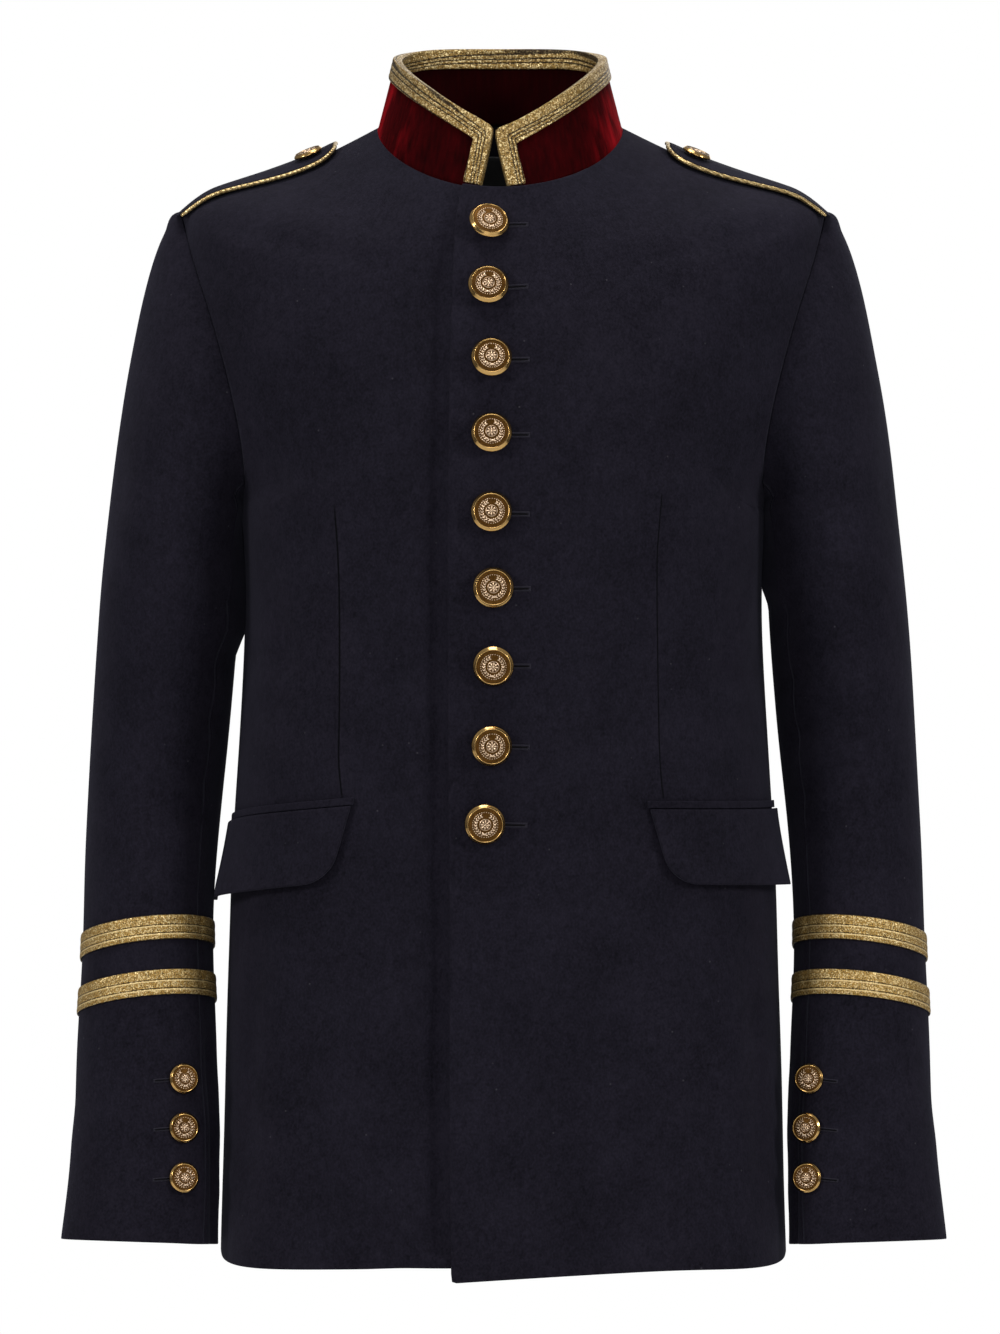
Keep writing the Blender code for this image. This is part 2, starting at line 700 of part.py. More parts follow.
def make_side(side, wool, parent):
    """A front, a back half and both parts of a sleeve. Returns their outer points."""
    flip = side == "right"
    front, back, sleeve = front_grid(side), back_grid(), sleeve_grid()
    of_front, of_back, of_sleeve = shell_normals(front, back, sleeve)
    panels = (
        ("front", front, of_front, (("last", SEAM_PULL),)),
        ("back", back, of_back, (("first", SEAM_PULL), ("last", SEAM_PULL))),
    )
    for name, grid, normals, edges in panels:
        wall_piece(f"{name}_{side}", grid, normals, edges, wool, parent, flip)
    order = np.arange(FORE_SEAM, HIND_SEAM + SLEEVE_COLUMNS + 1) % SLEEVE_COLUMNS
    halves = (("under_sleeve", np.arange(HIND_SEAM, FORE_SEAM + 1)), ("top_sleeve", order))
    edges = (("first", SEAM_PULL), ("last", SEAM_PULL), ("top", SLEEVE_PULL))
    for name, columns in halves:
        grid, normals = sleeve[:, columns], of_sleeve[:, columns]
        wall_piece(f"{name}_{side}", grid, normals, edges, wool, parent, flip)
    return front, back, sleeve


def collar_half(side, rim_line, base_line):
    """The outer points of half the collar, from its front end to the centre back."""
    starts = COLLAR_END_BASE[side], COLLAR_END_RIM[side]
    front_part, back_part = COLLAR_COLUMNS
    share = np.concatenate(
        (np.linspace(0.0, 0.5, front_part + 1), np.linspace(0.5, 1.0, back_part + 1)[1:])
    )
    lines = []
    for line, start in zip((base_line, rim_line), starts):
        lines.append(at_distance(line, start + share * (lengths(line)[-1] - start)))
    base, rim = lines
    base = base + unit(rim - base) * SEAT
    steps = np.linspace(0.0, 1.0, COLLAR_STEPS + 1)[:, None, None]
    return rim * (1.0 - steps) + base * steps


def collar_grid():
    """The collar's outer points, rim first, from its left end round the back to its right."""
    neck = np.concatenate((row_line("front", 0.0), row_line("back", 0.0)[-2::-1]))
    rim = fine_line(RIM)
    left = collar_half("left", rim, neck)
    right = mirrored(collar_half("right", rim, neck))
    return np.concatenate((left, right[:, 1:]), axis=1)


def spot(grid, row, column):
    """A point between a grid's own points, at a row and a column that may be fractions."""
    i, j = min(int(row), grid.shape[0] - 2), min(int(column), grid.shape[1] - 2)
    down, across = row - i, column - j
    upper = grid[i, j] * (1 - across) + grid[i, j + 1] * across
    lower = grid[i + 1, j] * (1 - across) + grid[i + 1, j + 1] * across
    return upper * (1 - down) + lower * down


def braid_section(outer, inner, edge, foot):
    """A binding's section: a ribbed leaf on each face of the wall and a slot for the wall.

    edge and foot are places (row, column) of the wall's grids: where the section crosses the
    wall's edge, and how far it reaches in from there.
    """
    faces = []
    for grid, other in ((outer, inner), (inner, outer)):
        rim, end = spot(grid, *edge), spot(grid, *foot)
        away = unit(rim - spot(other, *edge)), unit(end - spot(other, *foot))
        up = unit(rim - end)
        leaf = []
        for share in np.linspace(0.0, 1.0, 2 * BRAID_RIBS + 1):
            along = end * (1 - share) + (rim + up * (BRAID_SLOT + BRAID_THICK)) * share
            height = BRAID_SLOT + BRAID_THICK + BRAID_RIB_HEIGHT * ribs(BRAID_RIBS, share)
            leaf.append(along + unit(away[1] * (1 - share) + away[0] * share) * height)
        slot = [rim + (up + away[0]) * BRAID_SLOT, end + away[1] * BRAID_SLOT]
        faces.append((leaf, slot))
    (front, front_slot), (back, back_slot) = faces
    return front + back[::-1] + back_slot[::-1] + front_slot


def braid_sections(outer, inner):
    """The binding's sections: up one end of the collar, along its rim and down the other."""
    last = outer.shape[1] - 1
    drops = [BRAID_WIDTH / lengths(column)[-1] * COLLAR_STEPS for column in outer.swapaxes(0, 1)]
    ends = []
    for column, toward in ((0, 1), (last, -1)):
        reach = []
        for row in range(COLLAR_STEPS + 1):
            along = lengths(outer[row, ::toward])
            reach.append(toward * np.interp(BRAID_END_WIDTH, along, np.arange(len(along))))
        rows = [COLLAR_STEPS - BRAID_FOOT, *range(COLLAR_STEPS - 1, 0, -1)]
        end = [((row, column), (row, column + reach[round(row)])) for row in rows]
        corner = column + reach[0]
        end.append(((0, column), (drops[column], corner)))
        beside = column + toward
        end.append(((0, beside), (drops[beside], corner + 0.3 * (column + 2 * toward - corner))))
        ends.append(end)
    rim = [((0, column), (drops[column], column)) for column in range(2, last - 1)]
    return [braid_section(outer, inner, *places) for places in ends[0] + rim + ends[1][::-1]]


def collar_and_braid(velvet, gold, parent):
    """The stand collar and the braid bound over its rim and its two front ends."""
    outer = collar_grid()
    inner = outer - grid_normals(outer) * COLLAR_WALL
    add_object("collar", wall_mesh("collar", outer, inner, velvet), parent)
    sections = braid_sections(outer, inner)
    mesh = skin_mesh("collar_braid", sections, gold, closed=False)
    add_object("collar_braid", mesh, parent)


def cuff_bands(side, sleeve, gold, parent):
    """The two ribbed bands round a sleeve, made from its points moved out."""
    angles = np.arange(SLEEVE_COLUMNS) * 360.0 / SLEEVE_COLUMNS
    shares = np.linspace(0.0, 1.0, 2 * CUFF_RIBS + 1)
    for name, (high, low) in CUFF_BANDS.items():
        rows = []
        for share in shares:
            points, normals = sleeve_place(sleeve, high + (low - high) * share, angles)
            height = BRAID_THICK + BRAID_RIB_HEIGHT * ribs(CUFF_RIBS, share)
            rows.append(points + normals * (SEAT + height))
        for height in (low, high):
            points, normals = sleeve_place(sleeve, height, angles)
            rows.append(points + normals * SEAT)
        sections = np.array(rows).swapaxes(0, 1)
        if side == "right":
            sections = sections * np.array((-1.0, 1.0, 1.0))
        full = f"cuff_braid_{name}_{side}"
        add_object(full, skin_mesh(full, sections, gold, closed=True), parent)


def shoulder_place(front, back, level, across):
    """A point of the shoulder and its direction, by its distance from the seam, back above 0."""
    if across > 0.0:
        return panel_place(back, level, across)
    levels = shell_levels()
    ends = [lengths(row)[-1] for row in front]
    return panel_place(front, level, np.interp(level, levels, ends) + across)


def strap_shares():
    """Where the strap's sections lie along it, closer together round its tip."""
    straight = np.linspace(0.0, 1.0 - STRAP_TIP, STRAP_STEPS + 1)
    turn = np.linspace(0.0, math.pi / 2.0, STRAP_TIP_STEPS + 1)[1:]
    return np.concatenate((straight, 1.0 - STRAP_TIP + STRAP_TIP * np.sin(turn)))


def strap_grids(front, back):
    """The lower and upper points of the left shoulder strap, from the armhole to its tip."""
    lower, upper = [], []
    for share in strap_shares():
        level = STRAP_LEVELS[0] + (STRAP_LEVELS[1] - STRAP_LEVELS[0]) * share
        half = STRAP_HALF_WIDTHS[0] + (STRAP_HALF_WIDTHS[1] - STRAP_HALF_WIDTHS[0]) * share
        beyond = max(0.0, (share - 1.0 + STRAP_TIP) / STRAP_TIP)
        half *= math.sqrt(1.0 - 0.93 * beyond**2)
        lift = STRAP_LIFTS[0] + (STRAP_LIFTS[1] - STRAP_LIFTS[0]) * share**2
        places = half * np.linspace(-1.0, 1.0, STRAP_ACROSS + 1)
        frames = [shoulder_place(front, back, level, place) for place in places]
        lower.append([point + normal * lift for point, normal in frames])
        upper.append([point + normal * (lift + STRAP_WALL) for point, normal in frames])
    return np.array(lower), np.array(upper)


def piping_path(lower, upper):
    """The middle of the piping: along the strap's front edge, round its tip and back."""
    tip = slice(1, -1, 2)
    low = np.concatenate((lower[:, 0], lower[-1, tip], lower[::-1, -1]))
    high = np.concatenate((upper[:, 0], upper[-1, tip], upper[::-1, -1]))
    middle = (low + high) / 2.0
    away = unit(np.cross(high - low, np.gradient(middle, axis=0)))
    if np.dot(away[0], lower[0, 0] - lower[0, 1]) < 0.0:
        away = -away
    return middle + away * (PIPING_RADIUS + SEAT)


def strap_pieces(side, front, back, wool, gold, parent):
    """A shoulder strap and its piping. Returns the place and direction of its button."""
    lower, upper = strap_grids(front, back)
    path = piping_path(lower, upper)
    row = int(np.argmin(abs(strap_shares() - STRAP_BUTTON)))
    middle = STRAP_ACROSS // 2
    place = upper[row, middle]
    facing = np.cross(
        upper[row + 1, middle] - upper[row - 1, middle],
        upper[row, middle - 1] - upper[row, middle + 1],
    )
    facing = facing if facing[2] > 0.0 else -facing
    if side == "right":
        flip = np.array((-1.0, 1.0, 1.0))
        lower, upper, path = lower * flip, upper * flip, path * flip
        place, facing = place * flip, facing * flip
    name = f"epaulette_{side}"
    add_object(name, wall_mesh(name, upper, lower, wool), parent)
    curve = bpy.data.curves.new(f"epaulette_piping_{side}", "CURVE")
    curve.dimensions = "3D"
    curve.bevel_depth = PIPING_RADIUS * MM
    curve.bevel_resolution = 1
    curve.use_fill_caps = True
    spline = curve.splines.new("POLY")
    spline.points.add(len(path) - 1)
    path = path + np.outer(neck_shift(path), (1.0, 0.0, 0.0))
    for point, target in zip(spline.points, path):
        point.co = (*(target * MM), 1.0)
    curve.materials.append(gold)
    add_object(curve.name, curve, parent)
    return place, facing


def level_at(height):
    """The level of a row below the underarm, by its height."""
    top, bottom = SIDE_SEAM["z"][0], BACK["z"][-1]
    return 2.0 + (top - height) / (top - bottom)


def pocket_place(side, front, height, distance, off):
    """A point that stands off the front by some distance, on the pocket's falling line."""
    fall = POCKET_DOWN[side] + POCKET_FALL[side] * (distance - JET_FROM) / JET_LENGTH
    level = level_at(height - fall)
    point, normal = panel_place(front, level, distance - front_start(side, level))
    return point + normal * off


def pocket_pieces(side, front, wool, parent):
    """The jet and the flap of one pocket."""
    shares = np.linspace(0.0, 1.0, POCKET_COLUMNS + 1)
    jet = {"outer": [], "inner": []}
    for height in (JET_TOP, JET_TOP - JET_HEIGHT):
        for face, off in (("outer", POCKET_SEAT + JET_THICK), ("inner", POCKET_SEAT)):
            along = JET_FROM + POCKET_BACK[side] + JET_LENGTH * shares
            jet[face].append([pocket_place(side, front, height, a, off) for a in along])
    flap = {"outer": [], "inner": []}
    for down in np.linspace(0.0, 1.0, FLAP_STEPS + 1):
        row = {"outer": [], "inner": []}
        for share in shares:
            along = share * FLAP_WIDTH
            into_corner = max(0.0, 1.0 - along / FLAP_CORNER)
            height = FLAP_HEIGHT + FLAP_DEEPER[side] * share
            height -= FLAP_CORNER * (1.0 - math.sqrt(1.0 - into_corner**2))
            slant = FLAP_SLANT * down * (1.0 - share)
            off = POCKET_SEAT + np.interp(share, *FLAP_STAND) * down**1.5
            start = FLAP_FROM + POCKET_BACK[side]
            place = (side, front, FLAP_TOP - height * down, start + along + slant)
            row["outer"].append(pocket_place(*place, off + FLAP_WALL))
            row["inner"].append(pocket_place(*place, off))
        flap["outer"].append(row["outer"])
        flap["inner"].append(row["inner"])
    for name, faces in (("pocket_jet", jet), ("pocket_flap", flap)):
        full = f"{name}_{side}"
        outer, inner = np.array(faces["outer"]), np.array(faces["inner"])
        if side == "right":
            outer, inner = mirrored(outer), mirrored(inner)
        add_object(full, wall_mesh(full, outer, inner, wool), parent)


def label_piece(back, material, parent):
    """The neck label, which lies inside the two back halves."""
    levels = shell_levels()
    ends = [lengths(row)[-1] for row in back]
    columns = LABEL_HALF_WIDTH * np.linspace(-1.0, 1.0, LABEL_COLUMNS + 1)
    faces = {WALL + SEAT: [], WALL + SEAT + LABEL_THICK: []}
    for level in np.linspace(*LABEL_LEVELS, LABEL_STEPS + 1):
        end = np.interp(level, levels, ends)
        places = [panel_place(back, level, end - abs(column)) for column in columns]
        flips = [(math.copysign(1.0, column), 1.0, 1.0) for column in columns]
        for depth, rows in faces.items():
            rows.append([(p - n * depth) * flip for (p, n), flip in zip(places, flips)])
    grids = [np.array(rows) for rows in faces.values()]
    add_object("neck_label", wall_mesh("neck_label", *grids, material), parent)


def turned_mesh(name, profile, steps, material):
    """A button turned from its profile, standing along +Z on its shank."""
    bm = bmesh.new()
    line = [
        bm.verts.new((radius * MM, 0.0, height * MM))
        for radius, height in zip(profile["radius"], profile["height"])
    ]
    edges = [bm.edges.new(pair) for pair in zip(line, line[1:])]
    bmesh.ops.spin(
        bm,
        geom=line + edges,
        cent=(0.0, 0.0, 0.0),
        axis=(0.0, 0.0, 1.0),
        angle=2.0 * math.pi,
        steps=steps,
        use_merge=True,
    )
    bmesh.ops.remove_doubles(bm, verts=bm.verts, dist=1e-6)
    return finish_mesh(bm, name, material)


def place_button(name, mesh, point, facing, parent):
    """Stands a button on the cloth, with its shank's foot just clear of it."""
    button = add_object(name, mesh, parent)
    facing = unit(np.asarray(facing, float))
    foot = np.asarray(point, float) + facing * SEAT
    foot[0] += neck_shift(foot)
    button.location = Vector(foot) * MM
    button.rotation_mode = "QUATERNION"
    button.rotation_quaternion = Vector(facing).to_track_quat("Z", "Y")
    return button


def place_on_front(front, x, height):
    """The point of the left front at one x and height, and its direction."""
    rows = front[:, 0, 2]
    spots, normals = [], grid_normals(front)
    for i in range(len(rows)):
        xs = front[i, :, 0]
        share = np.interp(x, xs, np.arange(len(xs)))
        j = min(int(share), len(xs) - 2)
        t = share - j
        point = front[i, j] * (1 - t) + front[i, j + 1] * t
        normal = normals[i, j] * (1 - t) + normals[i, j + 1] * t
        spots.append((point, normal))
    heights = np.array([point[2] for point, _ in spots])
    place = np.interp(-height, -heights, np.arange(len(heights)))
    i = min(int(place), len(heights) - 2)
    t = place - i
    point = spots[i][0] * (1 - t) + spots[i + 1][0] * t
    return point, unit(spots[i][1] * (1 - t) + spots[i + 1][1] * t)


def front_buttons(front, brass, parent):
    """The row of buttons down the left front."""
    mesh = turned_mesh("front_button", BUTTON_PROFILE, BUTTON_STEPS, brass)
    for i, (x, height) in enumerate(zip(FRONT_BUTTONS["x"], FRONT_BUTTONS["z"])):
        point, normal = place_on_front(front, x, height)
        button = place_button(f"button_front_{i + 1}", mesh, point, normal, parent)
        up = Quaternion((1.0, 0.0, 0.0), -math.radians(FRONT_BUTTONS["tilt_up"][i]))
        aside = Quaternion((0.0, 0.0, 1.0), math.radians(FRONT_BUTTONS["tilt_side"][i]))
        button.rotation_quaternion = up @ aside @ button.rotation_quaternion


def small_buttons(side, mesh, sleeve, strap_place, parent):
    """The cuff's three buttons and the shoulder strap's one."""
    for i, height in enumerate(CUFF_BUTTONS):
        point, normal = sleeve_place(sleeve, height, np.array([CUFF_BUTTON_ANGLE[side]]))
        point, normal = point[0], normal[0]
        if side == "right":
            point, normal = point * (-1.0, 1.0, 1.0), normal * (-1.0, 1.0, 1.0)
        place_button(f"cuff_button_{side}_{i + 1}", mesh, point, normal, parent)
    place_button(f"epaulette_button_{side}", mesh, *strap_place, parent)


def main():
    for old in list(bpy.data.objects):
        bpy.data.objects.remove(old, do_unlink=True)
    materials = {name: make_material(name) for name in COLOURS}
    wool, gold, brass = materials["wool"], materials["gold_braid"], materials["brass"]
    jacket = add_object("jacket", None, None)
    small = turned_mesh("small_button", SMALL_BUTTON_PROFILE, SMALL_BUTTON_STEPS, brass)
    for side in ("left", "right"):
        front, back, sleeve = make_side(side, wool, jacket)
        if side == "left":
            front_buttons(front, brass, jacket)
        cuff_bands(side, sleeve, gold, jacket)
        strap_place = strap_pieces(side, front, back, wool, gold, jacket)
        small_buttons(side, small, sleeve, strap_place, jacket)
        pocket_pieces(side, front, wool, jacket)
    collar_and_braid(materials["velvet"], gold, jacket)
    label_piece(back, materials["label"], jacket)


main()
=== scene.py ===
import math

import bmesh
import bpy
import numpy as np
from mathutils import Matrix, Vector
from mathutils.bvhtree import BVHTree
from mathutils.kdtree import KDTree


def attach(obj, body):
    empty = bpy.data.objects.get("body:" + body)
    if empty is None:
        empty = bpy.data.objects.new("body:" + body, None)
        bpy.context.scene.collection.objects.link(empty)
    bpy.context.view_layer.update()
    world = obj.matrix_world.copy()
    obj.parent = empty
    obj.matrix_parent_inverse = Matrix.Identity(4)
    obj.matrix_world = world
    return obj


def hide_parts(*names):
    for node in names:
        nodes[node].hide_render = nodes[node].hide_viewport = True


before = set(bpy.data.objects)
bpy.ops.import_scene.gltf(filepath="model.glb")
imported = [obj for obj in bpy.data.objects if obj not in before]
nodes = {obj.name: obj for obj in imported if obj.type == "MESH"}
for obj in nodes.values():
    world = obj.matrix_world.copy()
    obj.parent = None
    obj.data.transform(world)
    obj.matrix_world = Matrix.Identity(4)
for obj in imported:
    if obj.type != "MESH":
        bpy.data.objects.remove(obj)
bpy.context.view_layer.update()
scene = bpy.context.scene
print("frame loaded")

mm = 0.001


# A socket takes a link from another socket, or a plain value
def feed(tree, socket, value):
    if isinstance(value, bpy.types.NodeSocket):
        tree.links.new(value, socket)
    else:
        socket.default_value = value


def addNode(tree, kind, settings=None, **inputs):
    node = tree.nodes.new(kind)
    for key, value in (settings or {}).items():
        setattr(node, key, value)
    for key, value in inputs.items():
        feed(tree, node.inputs[key.replace("_", " ")], value)
    return node


def mathNode(tree, operation, first, second=0.0, clamp=False):
    node = tree.nodes.new("ShaderNodeMath")
    node.operation = operation
    node.use_clamp = clamp
    feed(tree, node.inputs[0], first)
    feed(tree, node.inputs[1], second)
    return node.outputs[0]


def times(tree, first, second, clamp=False):
    return mathNode(tree, "MULTIPLY", first, second, clamp)


def plus(tree, first, second, clamp=False):
    return mathNode(tree, "ADD", first, second, clamp)


def minus(tree, first, second, clamp=False):
    return mathNode(tree, "SUBTRACT", first, second, clamp)


def mixColours(tree, share, first, second):
    node = tree.nodes.new("ShaderNodeMix")
    node.data_type = "RGBA"
    for index, value in ((0, share), (6, first), (7, second)):
        feed(tree, node.inputs[index], value)
    return node.outputs[2]


def stretched(tree, vector, low, high, toLow=0.0, toHigh=1.0):
    node = addNode(tree, "ShaderNodeMapRange", Value=vector)
    for name, value in zip(("From Min", "From Max", "To Min", "To Max"), (low, high, toLow, toHigh)):
        node.inputs[name].default_value = value
    return node.outputs[0]


def newGroup(name, inputs, outputs):
    group = bpy.data.node_groups.new(name, "ShaderNodeTree")
    for key, (kind, value) in inputs.items():
        socket = group.interface.new_socket(name=key, in_out="INPUT", socket_type=kind)
        if value is not None:
            socket.default_value = value
    for key, kind in outputs.items():
        group.interface.new_socket(name=key, in_out="OUTPUT", socket_type=kind)
    return group, group.nodes.new("NodeGroupInput"), group.nodes.new("NodeGroupOutput")


def useGroup(tree, group, **inputs):
    return addNode(tree, "ShaderNodeGroup", {"node_tree": group}, **inputs)


def noiseOf(tree, vector, scale, detail):
    return addNode(tree, "ShaderNodeTexNoise", Vector=vector, Scale=scale, Detail=detail).outputs[0]


def objectPlace(tree):
    return addNode(tree, "ShaderNodeTexCoord").outputs["Object"]


def attributeOf(tree, name):
    return addNode(tree, "ShaderNodeAttribute", {"attribute_name": name}).outputs["Fac"]


def startMaterial(name, colour, **sockets):
    material = bpy.data.materials.new(name)
    material.use_nodes = True
    material.diffuse_color = (*colour, 1.0)
    tree = material.node_tree
    shader = tree.nodes["Principled BSDF"]
    shader.inputs["Base Color"].default_value = (*colour, 1.0)
    for key, value in sockets.items():
        shader.inputs[key.replace("_", " ")].default_value = value
    return material, tree, shader


def dressShader(tree, shader, colour, strength, distance, height):
    tree.links.new(colour, shader.inputs["Base Color"])
    bump = addNode(tree, "ShaderNodeBump", Strength=strength, Distance=distance, Height=height)
    tree.links.new(bump.outputs[0], shader.inputs["Normal"])


# Fine fibres over a slow unevenness: shade and height, both 0 to 1
def makeFibres():
    inputs = {
        "Vector": ("NodeSocketVector", None),
        "Fine": ("NodeSocketFloat", 900.0),
        "Coarse": ("NodeSocketFloat", 30.0),
        "Streak": ("NodeSocketVector", (1.0, 1.0, 1.0)),
    }
    group, given, out = newGroup("fibres", inputs, {"Shade": "NodeSocketFloat", "Height": "NodeSocketFloat"})
    place, fineScale = given.outputs["Vector"], given.outputs["Fine"]
    along = addNode(group, "ShaderNodeVectorMath", {"operation": "MULTIPLY"})
    group.links.new(place, along.inputs[0])
    group.links.new(given.outputs["Streak"], along.inputs[1])
    fine = noiseOf(group, along.outputs[0], fineScale, 3.0)
    coarse = noiseOf(group, place, given.outputs["Coarse"], 2.0)
    middle = noiseOf(group, along.outputs[0], times(group, fineScale, 0.31), 2.0)
    middleShade = times(group, middle, 0.25)
    shade = plus(group, plus(group, times(group, fine, 0.5), times(group, coarse, 0.25)), middleShade)
    group.links.new(stretched(group, shade, 0.32, 0.68), out.inputs["Shade"])
    group.links.new(plus(group, times(group, fine, 0.6), middleShade), out.inputs["Height"])
    return group


# Metallic thread seen from a step away: painted glints, and dark gaps painted as shade, along a band
def makeGlitter():
    inputs = {"Vector": ("NodeSocketVector", None), "Grain": ("NodeSocketFloat", 1500.0)}
    group, given, out = newGroup("glitter", inputs, {"Glint": "NodeSocketFloat", "Gap": "NodeSocketFloat"})
    place, grain = given.outputs["Vector"], given.outputs["Grain"]
    noise = noiseOf(group, place, grain, 2.0)
    flake = addNode(group, "ShaderNodeTexVoronoi", Vector=place, Scale=grain)
    flakeShade = addNode(group, "ShaderNodeSeparateColor")
    group.links.new(flake.outputs["Color"], flakeShade.inputs[0])
    glint = stretched(group, flakeShade.outputs[0], 0.62, 0.95)
    group.links.new(glint, out.inputs["Glint"])
    group.links.new(stretched(group, noise, 0.52, 0.36), out.inputs["Gap"])
    return group


fibres = makeFibres()
glitter = makeGlitter()

woolLook = {
    "dark": (0.0030, 0.0025, 0.0048),
    "light": (0.0128, 0.0111, 0.0182),
    "fleck": (0.050, 0.047, 0.055),
    "fleckShare": 0.975,
}


# With a fold, the wool is painted near black, as shade, where its attribute is 1: where the cloth goes into
# the fold
def makeWool(name, fold=False):
    dark, light = woolLook["dark"], woolLook["light"]
    material, tree, shader = startMaterial(
        name, dark, Roughness=0.9, Sheen_Weight=0.05, Sheen_Roughness=0.5,
        Sheen_Tint=(0.45, 0.45, 0.62, 1.0), Specular_IOR_Level=0.06,
    )
    place = objectPlace(tree)
    nap = useGroup(tree, fibres, Vector=place, Fine=760.0, Coarse=26.0, Streak=(1.0, 1.0, 0.8))
    cloth = mixColours(tree, nap.outputs["Shade"], (*dark, 1.0), (*light, 1.0))
    spots = addNode(tree, "ShaderNodeTexVoronoi", Vector=place, Scale=210.0)
    chance = addNode(tree, "ShaderNodeSeparateColor")
    tree.links.new(spots.outputs["Color"], chance.inputs[0])
    chosen = mathNode(tree, "GREATER_THAN", chance.outputs[1], woolLook["fleckShare"])
    core = stretched(tree, spots.outputs["Distance"], 0.16, 0.06)
    fleck = times(tree, times(tree, chosen, core), 0.6, clamp=True)
    shade = mixColours(tree, fleck, cloth, (*woolLook["fleck"], 1.0))
    if fold:
        slit = attributeOf(tree, "slit")
        # Painted shade in the fold's crevice
        shade = mixColours(tree, slit, shade, (0.0010, 0.0009, 0.0016, 1.0))
    dressShader(tree, shader, shade, 0.35, 0.00035, nap.outputs["Height"])
    return material


# Dark and light are mixed by the nap and by the painted shade inside the collar; the third is a bright red
# painted as sheen
velvetLook = {
    "dark": (0.0060, 0.0001, 0.0003),
    "light": (0.036, 0.0005, 0.0012),
    "sheenLit": (0.210, 0.0030, 0.0060),
}


# The velvet's painted light: a per-point attribute is low inside the collar, where the velvet is painted
# darker as shade, and rises to 1 at the collar's sides, where bright red streaks are a painted sheen
def makeVelvet():
    material, tree, shader = startMaterial(
        "velvet", velvetLook["light"], Roughness=0.85, Sheen_Weight=0.35, Sheen_Roughness=0.3,
        Sheen_Tint=(0.60, 0.006, 0.016, 1.0), Specular_IOR_Level=0.02,
    )
    place = objectPlace(tree)
    nap = useGroup(tree, fibres, Vector=place, Fine=330.0, Coarse=34.0, Streak=(1.0, 1.0, 0.16))
    streaks = useGroup(tree, fibres, Vector=place, Fine=120.0, Coarse=20.0, Streak=(1.0, 1.0, 0.10))
    pile = attributeOf(tree, "pile")
    # Painted shade: inside the collar the velvet keeps to its dark tone
    depth = times(tree, nap.outputs["Shade"], stretched(tree, pile, 0.0, 0.5))
    shade = mixColours(tree, depth, (*velvetLook["dark"], 1.0), (*velvetLook["light"], 1.0))
    # Painted sheen: bright red streaks towards the collar's sides
    lit = times(tree, stretched(tree, streaks.outputs["Shade"], 0.45, 0.95), stretched(tree, pile, 0.5, 1.0))
    colour = mixColours(tree, lit, shade, (*velvetLook["sheenLit"], 1.0))
    dressShader(tree, shader, colour, 0.55, 0.0012, nap.outputs["Height"])
    return material


# deep is the painted shade in gaps and grooves, glint the colour of painted glints
goldLook = {
    "deep": (0.020, 0.010, 0.003),
    "body": (0.300, 0.180, 0.046),
    "glint": (0.860, 0.680, 0.350),
    "pick": 0.0011,       # metres from one cross thread to the next
    "hairline": 0.020,    # half its width, as a share of the band's
}


# A woven gold band: its UV map runs along it in metres and across it from 0 to 1.
# Grooves are dark lines of painted shade between its ribs, and each cross thread has a band of painted
# shade; hairlines are thin bright lines in the glint colour.
def makeBraid(name, grooves, grooveWidth, hairlines, grain, lift=1.0):
    material, tree, shader = startMaterial(
        name, goldLook["body"], Roughness=0.42, Metallic=0.6, Specular_IOR_Level=0.3
    )
    weave = addNode(tree, "ShaderNodeUVMap", {"uv_map": "weave"}).outputs[0]
    apart = addNode(tree, "ShaderNodeSeparateXYZ")
    tree.links.new(weave, apart.inputs[0])
    place = objectPlace(tree)
    threads = useGroup(tree, glitter, Vector=place, Grain=grain)

    def linesAt(places, halfWidth):
        found = None
        for middle in places:
            offset = mathNode(tree, "ABSOLUTE", minus(tree, apart.outputs[1], middle))
            one = stretched(tree, offset, halfWidth * 1.4, halfWidth * 0.6)
            found = one if found is None else mathNode(tree, "MAXIMUM", found, one)
        return found

    groove = linesAt((0.0, *grooves, 1.0), grooveWidth)
    pick = mathNode(tree, "SINE", times(tree, apart.outputs[0], 2.0 * math.pi / goldLook["pick"]))
    pickShade = stretched(tree, pick, -1.0, 1.0, 0.0, 0.25)
    dark = plus(tree, times(tree, threads.outputs["Gap"], 0.75), pickShade)
    dark = plus(tree, dark, times(tree, groove, 0.85), clamp=True)
    body = [value * lift for value in goldLook["body"]]
    colour = mixColours(tree, dark, (*body, 1.0), (*goldLook["deep"], 1.0))
    bright = times(tree, threads.outputs["Glint"], 0.85)
    bright = times(tree, bright, minus(tree, 1.0, times(tree, groove, 0.8)))
    if hairlines:
        thin = times(tree, linesAt(hairlines, goldLook["hairline"]), 0.75)
        bright = mathNode(tree, "MAXIMUM", bright, thin)
    colour = mixColours(tree, bright, colour, (*goldLook["glint"], 1.0))
    rough = stretched(tree, threads.outputs["Glint"], 0.0, 1.0, 0.50, 0.28)
    tree.links.new(rough, shader.inputs["Roughness"])
    height = minus(tree, times(tree, pick, 0.2), groove)
    height = minus(tree, height, times(tree, threads.outputs["Gap"], 0.6))
    dressShader(tree, shader, colour, 0.8, 0.00035, height)
    return material


